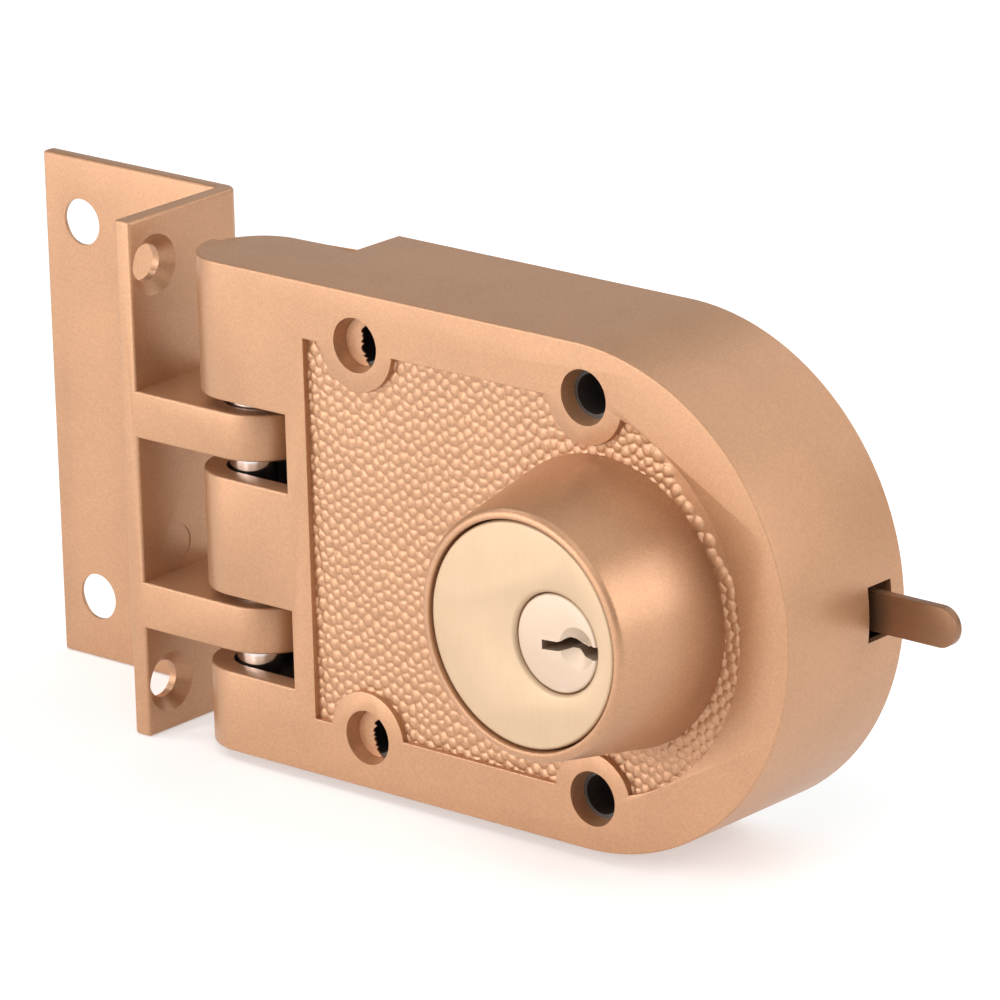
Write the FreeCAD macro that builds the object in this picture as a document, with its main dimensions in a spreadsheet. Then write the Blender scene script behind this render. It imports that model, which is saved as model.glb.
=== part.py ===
import FreeCAD, Part
import math
import os
import re
import Sketcher

# Surface-mounted deadlock with an interlocking bolt. Millimetres. The origin is the centre of
# the four case screw holes on the door plane: +X to the curved end, +Y into the door, +Z up.

SIZES = {
    # Case casting
    "case_height": 66.0,
    "case_depth": 22.7,
    "end_centre_x": 17.3,
    "body_reach": 31.2,
    "side_wall": 2.2,
    "front_wall": 2.8,
    "left_wall": 1.8,
    "front_edge_round": 0.7,
    "wall_root": 0.5,
    # Knuckles and the slots for the strike's ears
    "pin_axis_reach": 42.1,
    "knuckle_depth": 15.6,
    "slot_height": 10.4,
    "upper_slot_z": 9.4,
    "lower_slot_z": -16.9,
    "knuckle_step": 0.35,
    "channel_ceiling": 2.0,
    # Recessed panel
    "panel_reach": 27.55,
    "panel_radius": 25.4,
    "panel_recess": 1.2,
    # Case screws
    "screw_spacing_x": 37.4,
    "screw_spacing_z": 52.2,
    "screw_hole": 5.2,
    "screw_sink": 7.2,
    "screw_ring": 12.2,
    "screw_tube": 10.0,
    # Collar and cylinder
    "cylinder_x": 20.85,
    "cylinder_diameter": 29.2,
    "cylinder_length": 27.8,
    "cylinder_gap": 0.15,
    "collar_height": 15.5,
    "collar_rim": 32.0,
    "collar_base": 38.1,
    "collar_round": 0.9,
    "barrel_wall": 2.2,
    "face_sink": 0.35,
    "flange_width": 1.2,
    "flange_thickness": 2.0,
    "plug_offset": 5.35,
    "plug_diameter": 12.8,
    "plug_gap": 0.05,
    "plug_edge_round": 0.35,
    "plug_set_back": 0.3,
    "face_bevel": 0.25,
    # Keyway and key dimple
    "keyway_inset": 1.95,
    "keyway_width": 1.25,
    "keyway_ward": 0.75,
    "keyway_ward_length": 3.2,
    "keyway_step": 2.8,
    "keyway_step_length": 2.4,
    "keyway_depth": 24.0,
    "dimple_diameter": 5.4,
    "dimple_offset": 3.15,
    "dimple_depth": 1.3,
    "dimple_tip": 0.5,
    # Pin tumblers
    "tumbler_count": 5,
    "tumbler_pitch": 3.9,
    "first_tumbler": 6.5,
    "tumbler_diameter": 2.88,
    "tumbler_gap": 0.05,
    "shear_gap": 0.03,
    "key_pin_steps": 5,
    "key_pin_tip": 0.45,
    "key_pin_tip_length": 0.86,
    "driver_length": 4.6,
    "key_pin_longest": 5.0,
    "key_pin_step": 0.38,
    "tumbler_bore_depth": 6.6,
    "tumbler_wire": 0.34,
    "tumbler_spring_turns": 6,
    "cover_thickness": 0.9,
    "cover_width": 4.4,
    "cover_gap": 0.05,
    "coil_gap": 0.1,
    # Plug's clip and tailpiece
    "clip_thickness": 0.8,
    "clip_width": 1.8,
    "clip_depth": 1.0,
    "clip_play": 0.1,
    "clip_room": 0.4,
    "clip_groove": 1.0,
    "clip_pocket": 1.8,
    "clip_end": 0.5,
    "clip_gap_width": 4.6,
    "tail_width": 6.2,
    "tail_thickness": 2.0,
    "tail_seat": 2.2,
    "tail_reach": 4.4,
    "tail_gap": 0.2,
    # Clamp plate behind the cylinder
    "clamp_thickness": 1.4,
    "clamp_width": 20.0,
    "clamp_centre_offset": 2.6,
    "clamp_screw": 2.5,
    "clamp_screw_length": 6.5,
    "clamp_screw_head": 4.3,
    "clamp_head_height": 1.2,
    "clamp_post": 5.0,
    "clamp_post_gap": 0.1,
    # Hub and its arm
    "hub_journal": 10.0,
    "journal_gap": 0.06,
    "arm_thickness": 1.8,
    "arm_end_width": 5.6,
    "hub_collar": 13.0,
    "hub_rear_length": 1.4,
    "hub_end_gap": 0.1,
    "arm_swing": 90.0,
    "cam_pin_diameter": 3.6,
    "cam_pin_play": 0.42,
    "press_gap": 0.02,
    "seat_gap": 0.02,
    # Bolt
    "bolt_pin": 9.0,
    "channel_gap": 0.4,
    "pin_engagement": 3.0,
    "pin_end_round": 0.4,
    "arm_rise": 0.3,
    "bolt_arm_thickness": 1.9,
    "bolt_arm_width": 4.4,
    "spigot_diameter": 3.4,
    "travel_spare": 0.15,
    "carrier_gap": 0.3,
    "carrier_side_gap": 0.5,
    "carrier_thickness": 1.2,
    "carrier_post": 3.4,
    "carrier_bar_height": 9.0,
    "fork_length": 9.4,
    "fork_lip": 1.2,
    # Back plate
    "plate_thickness": 1.6,
    "plate_ledge": 1.0,
    "plate_gap": 0.1,
    "tail_window": 12.6,
    "plate_screw": 2.6,
    "plate_screw_head": 5.0,
    "plate_screw_length": 7.5,
    "screw_tip_room": 0.5,
    "driver_slot": 0.6,
    "plate_post": 5.6,
    "plate_screw_x": 0.0,
    "plate_screw_ring": 27.6,
    "plate_screw_angle": 43.0,
    "small_screw_gap": 0.04,
    # Shutter guard
    "guard_thickness": 1.1,
    "guard_gap": 0.3,
    "guard_left": 12.0,
    "guard_right": 46.2,
    "guard_height": 24.0,
    "guard_end_gap": 0.6,
    "guard_travel": 11.5,
    "guard_window": 12.6,
    "tab_thickness": 1.2,
    "tab_height": 5.2,
    "tab_reach": 12.0,
    "tab_y": -4.7,
    "tab_slot_height": 7.2,
    "tab_slot_width": 4.5,
    "rivet_x": 23.0,
    "rivet_z": 9.2,
    "rivet_diameter": 2.4,
    "rivet_head": 4.2,
    "rivet_head_thickness": 0.6,
    "rivet_gap": 0.25,
    "lug_height": 3.4,
    "lug_width": 5.0,
    "lug_thickness": 1.2,
    "spring_length": 20.0,
    "spring_diameter": 3.2,
    "spring_wire": 0.4,
    "spring_turns": 13,
    "spring_seat_gap": 0.05,
    "spring_side_gap": 0.1,
    # Strike
    "strike_top": 35.6,
    "strike_height": 70.0,
    "strike_depth": 21.1,
    "strike_flange": 2.65,
    "flange_face_reach": 57.25,
    "strike_plate_width": 33.65,
    "strike_plate": 2.05,
    "strike_corner": 2.0,
    "ear_radius": 7.6,
    "ear_bore_gap": 0.5,
    "ear_height": 6.3,
    "upper_ear_z": 9.85,
    "lower_ear_z": -16.15,
    "plate_hole": 6.3,
    "plate_hole_edge": 6.7,
    "plate_hole_end": 8.8,
    "flange_hole": 5.0,
    "flange_sink": 8.1,
    "flange_hole_edge": 4.45,
    "flange_hole_end": 6.6,
    "ejector_mark": 5.0,
    "ejector_depth": 0.15,
    "ejector_z": -9.4,
    "ejector_set_back": 2.2,
    "cut_over": 1.0,
}

# Planes and centres that follow from the sizes.
PLACES = {
    "end_radius": "case_height / 2",
    "case_end": "end_centre_x + end_radius",
    "front": "-case_depth",
    "panel_floor": "front + panel_recess",
    "wall_inside": "front + front_wall",
    "pin_x": "-pin_axis_reach",
    "knuckle_radius": "knuckle_depth / 2",
    "pin_y": "front + knuckle_radius",
    "knuckle_back": "front + knuckle_depth",
    "cavity_left": "-body_reach + left_wall",
    "rim": "front - collar_height",
    "face": "rim + face_sink",
    "cylinder_back": "face + cylinder_length",
    "flange_front": "cylinder_back - flange_thickness",
    "cylinder_radius": "cylinder_diameter / 2",
    "collar_bore": "cylinder_radius + cylinder_gap",
    "barrel_radius": "collar_bore + barrel_wall",
    "plug_x": "cylinder_x + plug_offset",
    "plug_radius": "plug_diameter / 2",
    "plug_bore": "plug_radius + plug_gap",
    "plug_back": "cylinder_back - plug_set_back",
    "groove_back": "plug_back - clip_end",
    "groove_front": "groove_back - clip_groove",
    "clip_inner": "plug_radius - clip_depth",
    "clip_outer": "clip_inner + clip_width",
    "clamp_back": "cylinder_back + clamp_thickness",
    "clamp_screw_reach": "cylinder_radius + flange_width + clamp_post_gap + clamp_post / 2",
    "clamp_reach": "clamp_screw_reach + clamp_post / 2",
    "carrier_front": "clamp_back + carrier_gap",
    "carrier_back": "carrier_front + carrier_thickness",
    "arm_front": "carrier_back + carrier_gap",
    "arm_back": "arm_front + arm_thickness",
    "hub_back": "arm_back + hub_rear_length",
    "journal_radius": "hub_journal / 2",
    "bolt_radius": "bolt_pin / 2",
    "channel_radius": "bolt_radius + channel_gap",
    "bolt_travel": "slot_height + pin_engagement + travel_spare",
    "arm_radius": "bolt_travel / 2 / sin(arm_swing / 2)",
    "arm_drop": "bolt_travel / 2",
    "cam_pin_x": "plug_x - arm_drop / tan(arm_swing / 2)",
    "upper_pin_bottom": "upper_slot_z - slot_height / 2 - pin_engagement",
    "lower_pin_bottom": "lower_slot_z - slot_height / 2 - pin_engagement",
    "upper_arm_bottom": "upper_slot_z + slot_height / 2 + arm_rise",
    "lower_arm_bottom": "lower_slot_z + slot_height / 2 + arm_rise",
    "channel_bottom": "lower_pin_bottom - arm_rise",
    "channel_top": "end_radius - channel_ceiling",
    "post_left": "cavity_left + carrier_side_gap",
    "post_right": "post_left + carrier_post",
    "fork_half": "cam_pin_diameter / 2 + cam_pin_play",
    "fork_right": "cam_pin_x + fork_lip",
    "plate_front": "-plate_thickness",
    "guard_back": "plate_front - guard_gap",
    "guard_front": "guard_back - guard_thickness",
    "tab_front": "tab_y - tab_thickness / 2",
    "tab_back": "tab_y + tab_thickness / 2",
    "tab_tip": "case_end + tab_reach",
    "rivet_radius": "rivet_diameter / 2",
    "rivet_head_front": "guard_front - guard_gap - rivet_head_thickness",
    "spring_y": "guard_front - spring_diameter / 2 - spring_side_gap",
    "anchor_x": "guard_left - spring_length - spring_seat_gap * 2",
    "anchor_left": "anchor_x - lug_thickness",
    "shear_x": "plug_x - plug_bore",
    "tumbler_radius": "tumbler_diameter / 2",
    "tumbler_bore": "tumbler_radius + tumbler_gap",
    "driver_end": "shear_x - shear_gap",
    "driver_start": "driver_end - driver_length",
    "key_pin_x": "plug_x - sqrt(plug_radius ^ 2 - tumbler_radius ^ 2) + shear_gap",
    "cover_x": "cylinder_x - sqrt(cylinder_radius ^ 2 - cover_width ^ 2 / 4) + cover_gap",
    "cover_front": "face + first_tumbler - tumbler_pitch / 2",
    "cover_back": "cover_front + tumbler_pitch * tumbler_count",
    "keyway_left": "plug_x - keyway_inset",
    "keyway_right": "plug_x + plug_radius + cut_over",
    "chamber_end": "cover_x + cover_thickness",
    "strike_bottom": "strike_top - strike_height",
    "flange_right": "-flange_face_reach",
    "flange_left": "flange_right - strike_flange",
    "strike_front": "pin_y - ear_radius",
    "strike_back": "strike_front + strike_depth",
    "strike_plate_front": "strike_back - strike_plate",
    "strike_plate_left": "flange_right - strike_plate_width",
    "flange_hole_y": "strike_front + flange_hole_edge",
    "plate_hole_x": "strike_plate_left + plate_hole_edge",
}

doc = FreeCAD.newDocument("Deadlock")


def make_sheet(name, cells):
    """One spreadsheet column of values, each cell with its alias."""
    sheet = doc.addObject("Spreadsheet::Sheet", name)
    for row, (alias, content) in enumerate(cells.items(), start=1):
        sheet.set(f"A{row}", alias)
        sheet.set(f"B{row}", content)
        sheet.setAlias(f"B{row}", alias)
    doc.recompute()
    return sheet


def linked(formula):
    """A formula whose plain names point at the two spreadsheets."""
    def sheet_name(match):
        word = match.group(0)
        if word in SIZES:
            return "Sizes." + word
        return "Places." + word if word in PLACES else word
    return re.sub(r"[a-z_]+", sheet_name, formula)


sizes = make_sheet("Sizes", {alias: str(number) for alias, number in SIZES.items()})
places = make_sheet("Places", {alias: "=" + linked(text) for alias, text in PLACES.items()})


def value(alias):
    sheet = sizes if alias in SIZES else places
    return float(sheet.get(alias))


def bind(obj, **formulas):
    for prop, formula in formulas.items():
        obj.setExpression(prop.replace("_", "."), linked(formula))
    return obj


def locate(obj, x, y, z):
    return bind(obj, Placement_Base_x=x, Placement_Base_y=y, Placement_Base_z=z)


def box(name, x_span, y_span, z_span):
    """A block between two formulas along each axis."""
    block = doc.addObject("Part::Box", name)
    bind(block, Length=f"({x_span[1]}) - ({x_span[0]})")
    bind(block, Width=f"({y_span[1]}) - ({y_span[0]})")
    bind(block, Height=f"({z_span[1]}) - ({z_span[0]})")
    return locate(block, x_span[0], y_span[0], z_span[0])


# Rotations that lay a primitive's own +Z along a row axis.
ALONG = {
    "x": FreeCAD.Rotation(FreeCAD.Vector(0, 1, 0), 90),
    "y": FreeCAD.Rotation(FreeCAD.Vector(1, 0, 0), -90),
    "z": FreeCAD.Rotation(),
}


def rod(name, axis, radius, span, at):
    """A cylinder along an axis between two formulas, at the other two coordinates."""
    bar = doc.addObject("Part::Cylinder", name)
    bar.Placement = FreeCAD.Placement(FreeCAD.Vector(), ALONG[axis])
    bind(bar, Radius=radius, Height=f"({span[1]}) - ({span[0]})")
    start = {"x": (span[0], *at), "y": (at[0], span[0], at[1]), "z": (*at, span[0])}[axis]
    return locate(bar, *start)


def taper(name, axis, radii, span, at):
    """A cone along an axis with its radius at each end."""
    cone = doc.addObject("Part::Cone", name)
    cone.Placement = FreeCAD.Placement(FreeCAD.Vector(), ALONG[axis])
    bind(cone, Radius1=radii[0], Radius2=radii[1], Height=f"({span[1]}) - ({span[0]})")
    start = {"x": (span[0], *at), "y": (at[0], span[0], at[1]), "z": (*at, span[0])}[axis]
    return locate(cone, *start)


def fuse(name, *shapes):
    joined = doc.addObject("Part::MultiFuse", name)
    joined.Shapes = list(shapes)
    joined.Refine = True
    return joined


def cut(name, base, *tools):
    result = doc.addObject("Part::Cut", name)
    result.Base = base
    result.Tool = tools[0] if len(tools) == 1 else fuse(name + "_tools", *tools)
    result.Refine = True
    return result


def common(name, *shapes):
    shared = doc.addObject("Part::MultiCommon", name)
    shared.Shapes = list(shapes)
    return shared


def on(coordinate, plane):
    return abs(coordinate - plane) < 1e-4


def rounded(name, base, radius, chosen):
    """Fillet the edges of a solid whose middle point passes a test."""
    doc.recompute()
    fillet = doc.addObject("Part::Fillet", name)
    fillet.Base = base
    edges = []
    for number, edge in enumerate(base.Shape.Edges, start=1):
        middle = edge.valueAt((edge.FirstParameter + edge.LastParameter) / 2)
        if chosen(middle):
            edges.append((number, radius, radius))
    fillet.Edges = edges
    return fillet


def capsule(name, left, radius, y_span):
    """A block that ends in the case's half-round, concentric with it."""
    block = box(name + "_block", (left, "end_centre_x"), y_span, (f"-({radius})", radius))
    end = rod(name + "_end", "y", radius, y_span, ("end_centre_x", "0"))
    return fuse(name, block, end)


pieces = []


def piece(node, obj):
    obj.Label = node
    pieces.append(obj)
    return obj


CYLINDER_AT = ("cylinder_x", "0")
PLUG_AT = ("plug_x", "0")
PIN_AT = ("pin_x", "pin_y")


def screw_places():
    signs = ("-", "")
    return [(f"{a}screw_spacing_x / 2", f"{b}screw_spacing_z / 2") for a in signs for b in signs]


def plate_screw_places():
    ring_x = "end_centre_x + plate_screw_ring * cos(plate_screw_angle)"
    ring_z = "plate_screw_ring * sin(plate_screw_angle)"
    return [("plate_screw_x", "plate_screw_ring"), ("plate_screw_x", "-plate_screw_ring"),
            (ring_x, ring_z), (ring_x, "-" + ring_z)]


def clamp_screw_places():
    return [("cylinder_x", "-clamp_screw_reach"), ("cylinder_x", "clamp_screw_reach")]


def rivet_places():
    return [("rivet_x", "-rivet_z"), ("rivet_x", "rivet_z")]


def tumbler_ys():
    return [f"face + first_tumbler + tumbler_pitch * {i}" for i in range(int(value("tumbler_count")))]


def body_pad(label, plane, outline, holes, length, position):
    """A PartDesign plate: a centred rectangle with round holes, padded to its thickness."""
    body = doc.addObject("PartDesign::Body", label)
    sketch = body.newObject("Sketcher::SketchObject", label + "_outline")
    face = next(f for f in body.Origin.OriginFeatures if f.Role == plane)
    sketch.AttachmentSupport = [(face, "")]
    sketch.MapMode = "FlatFace"
    corners = [FreeCAD.Vector(x, y, 0) for x, y in ((-1, -1), (1, -1), (1, 1), (-1, 1))]
    for i in range(4):
        sketch.addGeometry(Part.LineSegment(corners[i], corners[(i + 1) % 4]), False)
    for i in range(4):
        sketch.addConstraint(Sketcher.Constraint("Coincident", i, 2, (i + 1) % 4, 1))
        sketch.addConstraint(Sketcher.Constraint("Horizontal" if i % 2 == 0 else "Vertical", i))
    sketch.addConstraint(Sketcher.Constraint("Symmetric", 0, 1, 2, 1, -1, 1))
    for edge, kind, formula in ((0, "DistanceX", outline[0]), (1, "DistanceY", outline[1])):
        index = sketch.addConstraint(Sketcher.Constraint(kind, edge, 1, edge, 2, 2.0))
        sketch.setExpression(f"Constraints[{index}]", linked(formula))
    for x, y, radius in holes:
        ring = Part.Circle(FreeCAD.Vector(0, 0, 0), FreeCAD.Vector(0, 0, 1), 0.5)
        circle = sketch.addGeometry(ring, False)
        index = sketch.addConstraint(Sketcher.Constraint("Radius", circle, 0.5))
        sketch.setExpression(f"Constraints[{index}]", linked(radius))
        for kind, formula in (("DistanceX", x), ("DistanceY", y)):
            index = sketch.addConstraint(Sketcher.Constraint(kind, -1, 1, circle, 3, 0.0))
            sketch.setExpression(f"Constraints[{index}]", linked(formula))
    pad = body.newObject("PartDesign::Pad", label + "_pad")
    pad.Profile = sketch
    bind(pad, Length=length)
    body.Tip = pad
    locate(body, *position)
    return piece(label, body)


def case_shell():
    """The outside of the casting: the rounded body, the knuckles and the slots between them."""
    front, top, left = value("front"), value("end_radius"), -value("body_reach")
    edge_round = value("front_edge_round")
    body = capsule("case_body", "-body_reach", "end_radius", ("front", "0"))
    body = rounded("case_body_eased", body, edge_round,
                   lambda middle: on(middle.y, front) and not on(middle.x, left))
    height = ("-end_radius", "end_radius")
    knuckle = box("knuckle_block", ("pin_x", "cavity_left"), ("front", "knuckle_back"), height)
    hinge_end = rod("knuckle_end", "z", "knuckle_radius", height, ("pin_x", "pin_y"))
    knuckle = rounded("knuckle_eased", fuse("knuckle_solid", knuckle, hinge_end), edge_round,
                      lambda middle: on(abs(middle.z), top) and middle.x < left)
    outside = "pin_x - knuckle_radius - cut_over"
    cuts = []
    for name, centre in (("upper", "upper_slot_z"), ("lower", "lower_slot_z")):
        cuts.append(box(name + "_slot", (outside, "-body_reach"),
                        ("front - cut_over", "knuckle_back + cut_over"),
                        (f"{centre} - slot_height / 2", f"{centre} + slot_height / 2")))
    for name, span in (("top", ("end_radius - knuckle_step", "end_radius + cut_over")),
                       ("bottom", ("-end_radius - cut_over", "-end_radius + knuckle_step"))):
        cuts.append(box(name + "_step", (outside, "-body_reach"),
                        ("pin_y", "knuckle_back + cut_over"), span))
    return cut("case_slotted", fuse("case_outer", body, knuckle), *cuts)


def case_pockets():
    """The cavity, the ledge for the back plate and the recessed panel around its screw rings."""
    cavity = capsule("case_cavity", "cavity_left", "end_radius - side_wall", ("wall_inside", "cut_over"))
    ledge = capsule("case_ledge", "-body_reach + plate_ledge", "end_radius - plate_ledge",
                    ("plate_front", "cut_over"))
    depth = ("front - cut_over", "panel_floor")
    panel = capsule("panel_pocket", "-panel_reach", "panel_radius", depth)
    rings = [rod(f"screw_ring_{i}", "y", "screw_ring / 2", depth, at)
             for i, at in enumerate(screw_places())]
    return cavity, ledge, cut("panel_cut", panel, *rings)


def case_supports():
    """The collar and the barrel behind it, the screw tubes and the posts."""
    rim, rim_radius = value("rim"), value("collar_rim") / 2
    collar = taper("collar_cone", "y", ("collar_rim / 2", "collar_base / 2"),
                   ("rim", "panel_floor + wall_root"), CYLINDER_AT)
    collar = rounded("collar_eased", collar, value("collar_round"),
                     lambda middle: on(middle.y, rim) and middle.x > value("cylinder_x") - rim_radius - 1)
    root = "wall_inside - wall_root"
    parts = [collar, rod("cylinder_barrel", "y", "barrel_radius", (root, "flange_front"), CYLINDER_AT)]
    for i, at in enumerate(screw_places()):
        parts.append(rod(f"screw_tube_{i}", "y", "screw_tube / 2", (root, "plate_front"), at))
    for i, at in enumerate(plate_screw_places()):
        post = rod(f"plate_post_rod_{i}", "y", "plate_post / 2", (root, "plate_front"), at)
        room = capsule(f"plate_post_room_{i}", "-body_reach + plate_ledge", "end_radius - plate_ledge",
                       (root, "plate_front"))
        parts.append(common(f"plate_post_{i}", post, room))
    for i, at in enumerate(clamp_screw_places()):
        parts.append(rod(f"clamp_post_{i}", "y", "clamp_post / 2", (root, "cylinder_back"), at))
    return parts


def case_holes():
    """The screw holes, the cylinder's bore, the pin channels and the tab's slot."""
    holes = []
    sink = "(screw_sink - screw_hole) / 2"
    for i, at in enumerate(screw_places()):
        holes.append(rod(f"screw_hole_{i}", "y", "screw_hole / 2", ("front - cut_over", "cut_over"), at))
        holes.append(taper(f"screw_sink_{i}", "y", (f"screw_sink / 2 + {sink}", "screw_hole / 2"),
                           (f"front - {sink}", f"front + {sink}"), at))
    for i, at in enumerate(plate_screw_places()):
        holes.append(rod(f"plate_screw_hole_{i}", "y", "plate_screw / 2 + small_screw_gap",
                         ("-plate_screw_length - screw_tip_room", "cut_over"), at))
    for i, at in enumerate(clamp_screw_places()):
        holes.append(rod(f"clamp_screw_hole_{i}", "y", "clamp_screw / 2 + small_screw_gap",
                         ("cylinder_back - clamp_screw_length - screw_tip_room", "cylinder_back + cut_over"),
                         at))
    holes.append(rod("collar_hole", "y", "collar_bore", ("rim - cut_over", "flange_front + cut_over"),
                     CYLINDER_AT))
    holes.append(rod("pin_channel", "z", "channel_radius", ("channel_bottom", "channel_top"), PIN_AT))
    # The bolt's arms reach the pins through an open side of each knuckle's channel.
    knuckles = (("upper", "upper_slot_z + slot_height / 2", "channel_top"),
                ("middle", "lower_slot_z + slot_height / 2", "upper_slot_z - slot_height / 2"),
                ("lower", "channel_bottom", "lower_slot_z - slot_height / 2"))
    for name, low, high in knuckles:
        holes.append(box(name + "_channel", ("pin_x", "cavity_left + cut_over"),
                         ("pin_y - channel_radius", "pin_y + channel_radius"), (low, high)))
    holes.append(box("tab_slot", ("case_end - side_wall * 2", "case_end + cut_over"),
                     ("tab_y - tab_slot_width / 2", "tab_y + tab_slot_width / 2"),
                     ("-tab_slot_height / 2", "tab_slot_height / 2")))
    return holes


def make_case():
    hollow = cut("case_hollow", case_shell(), *case_pockets())
    solid = fuse("case_solid", hollow, *case_supports())
    piece("case", cut("case_casting", solid, *case_holes()))


def slotted_screw(name, at, shank, head, slot):
    """A screw along +Y: its shank, its head (a rod or a cone) and the slot across it."""
    width = f"{slot[0]} * 4"
    groove = box(name + "_slot", (f"{at[0]} - {width}", f"{at[0]} + {width}"), (slot[1], slot[2]),
                 (f"{at[1]} - {slot[0]} / 2", f"{at[1]} + {slot[0]} / 2"))
    return cut(name, fuse(name + "_solid", shank, head), groove)


def group(node, members):
    compound = doc.addObject("Part::Compound", node + "_group")
    compound.Links = members
    return piece(node, compound)


def make_back_plate():
    """The cover of the case's back, with the lug that seats the shutter's spring, and its screws."""
    plate = capsule("plate_blank", "-body_reach + plate_ledge + plate_gap",
                    "end_radius - plate_ledge - plate_gap", ("plate_front", "0"))
    span = ("plate_front - cut_over", "cut_over")
    head, shank = "plate_screw_head / 2", "plate_screw / 2"
    holes = [rod("tail_window_hole", "y", "tail_window / 2", span, PLUG_AT)]
    for i, at in enumerate(screw_places()):
        holes.append(rod(f"plate_wood_screw_{i}", "y", "screw_hole / 2", span, at))
    for i, at in enumerate(plate_screw_places()):
        holes.append(rod(f"plate_small_hole_{i}", "y", f"{shank} + small_screw_gap", span, at))
        holes.append(taper(f"plate_small_sink_{i}", "y",
                           (f"{shank} + small_screw_gap", f"{head} + small_screw_gap"),
                           (f"{shank} - {head}", "0"), at))
    for i, at in enumerate(rivet_places()):
        holes.append(rod(f"plate_rivet_hole_{i}", "y", "rivet_radius", span, at))
    lug_z = ("-lug_width / 2", "lug_width / 2")
    holes.append(box("lug_window", ("anchor_left - lug_height", "anchor_left"), span, lug_z))
    lug = box("anchor_lug", ("anchor_left", "anchor_x"),
              ("spring_y - spring_diameter / 2", "plate_front + wall_root"), lug_z)
    piece("back_plate", fuse("plate_with_lug", cut("plate_cut", plate, *holes), lug))

    screws = []
    for i, at in enumerate(plate_screw_places()):
        stem = rod(f"plate_screw_stem_{i}", "y", shank, ("-plate_screw_length", "0"), at)
        cone = taper(f"plate_screw_cone_{i}", "y", (shank, head), (f"{shank} - {head}", "0"), at)
        screws.append(slotted_screw(f"plate_screw_{i}", at, stem, cone,
                                    ("driver_slot", "-driver_slot", "cut_over")))
    group("back_plate_screws", screws)


def make_cylinder_body():
    """The brass cylinder, held by the flange at its back, and the strip over its pin chambers."""
    core = rod("cylinder_core", "y", "cylinder_radius", ("face", "cylinder_back"), CYLINDER_AT)
    flange = rod("cylinder_flange", "y", "cylinder_radius + flange_width",
                 ("flange_front + seat_gap", "cylinder_back"), CYLINDER_AT)
    bores = [
        rod("plug_hole", "y", "plug_bore", ("face - cut_over", "cylinder_back + cut_over"), PLUG_AT),
        taper("plug_hole_bevel", "y", ("plug_bore + face_bevel * 2", "plug_bore"),
              ("face - face_bevel", "face + face_bevel"), PLUG_AT),
        rod("clip_pocket_hole", "y", "clip_outer + clip_room",
            ("cylinder_back - clip_pocket", "cylinder_back + cut_over"), PLUG_AT),
        box("cover_groove", ("cylinder_x - cylinder_radius - cut_over", "chamber_end"),
            ("cover_front", "cover_back"), ("-cover_width / 2", "cover_width / 2")),
    ]
    for i, y in enumerate(tumbler_ys()):
        bores.append(rod(f"chamber_{i}", "x", "tumbler_bore", ("cover_x", "plug_x"), (y, "0")))
    piece("cylinder_body", cut("cylinder_cut", fuse("cylinder_blank", core, flange), *bores))
    piece("chamber_cover", box("cover_strip", ("cover_x", "chamber_end - seat_gap"),
                               ("cover_front + cover_gap", "cover_back - cover_gap"),
                               ("-cover_width / 2 + cover_gap", "cover_width / 2 - cover_gap")))


def make_plug():
    """The plug with its keyway, the clip in its groove and the flat tailpiece."""
    face = value("face")
    plug = rod("plug_core", "y", "plug_radius", ("face", "plug_back"), PLUG_AT)
    plug = rounded("plug_eased", plug, value("plug_edge_round"), lambda middle: on(middle.y, face))
    depth = ("face - cut_over", "face + keyway_depth")
    slope = "(dimple_diameter / 2 - dimple_tip) / dimple_depth"
    groove = ("groove_front", "groove_back")
    blade_room = "tail_thickness / 2 + seat_gap"
    cuts = [
        box("keyway", ("keyway_left", "keyway_right"), depth, ("-keyway_width / 2", "keyway_width / 2")),
        box("keyway_lower_ward", ("keyway_right - keyway_ward_length", "keyway_right"), depth,
            ("-keyway_width / 2 - keyway_ward", "0")),
        box("keyway_upper_ward",
            ("keyway_left + keyway_step", "keyway_left + keyway_step + keyway_step_length"),
            depth, ("0", "keyway_width / 2 + keyway_ward")),
        taper("key_dimple", "y", (f"dimple_diameter / 2 + {slope} * cut_over", "dimple_tip"),
              ("face - cut_over", "face + dimple_depth"), ("plug_x + dimple_offset", "0")),
        cut("clip_groove_ring", rod("groove_outer", "y", "plug_radius + cut_over", groove, PLUG_AT),
            rod("groove_inner", "y", "clip_inner - seat_gap",
                ("groove_front - cut_over", "groove_back + cut_over"), PLUG_AT)),
        box("tail_seat_slot", (f"plug_x - ({blade_room})", f"plug_x + {blade_room}"),
            ("plug_back - tail_seat", "plug_back + cut_over"),
            ("-tail_width / 2 - seat_gap", "tail_width / 2 + seat_gap")),
    ]
    for i, y in enumerate(tumbler_ys()):
        cuts.append(rod(f"plug_chamber_{i}", "x", "tumbler_bore",
                        ("plug_x - plug_radius - cut_over", "plug_x - plug_radius + tumbler_bore_depth"),
                        (y, "0")))
    piece("cylinder_plug", cut("plug_cut", plug, *cuts))

    front = "groove_front + clip_play"
    through = ("groove_front - cut_over", "groove_back + cut_over")
    piece("plug_retainer", cut(
        "clip_ring", rod("clip_disc", "y", "clip_outer", (front, f"{front} + clip_thickness"), PLUG_AT),
        rod("clip_hole", "y", "clip_inner", through, PLUG_AT),
        box("clip_gap", ("plug_x - clip_gap_width / 2", "plug_x + clip_gap_width / 2"), through,
            ("0", "clip_outer + cut_over"))))
    body_pad("tailpiece", "XZ_Plane", ("tail_thickness", "tail_width"), [],
             "tail_seat + tail_reach", ("plug_x", "plug_back + tail_reach", "0"))


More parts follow.
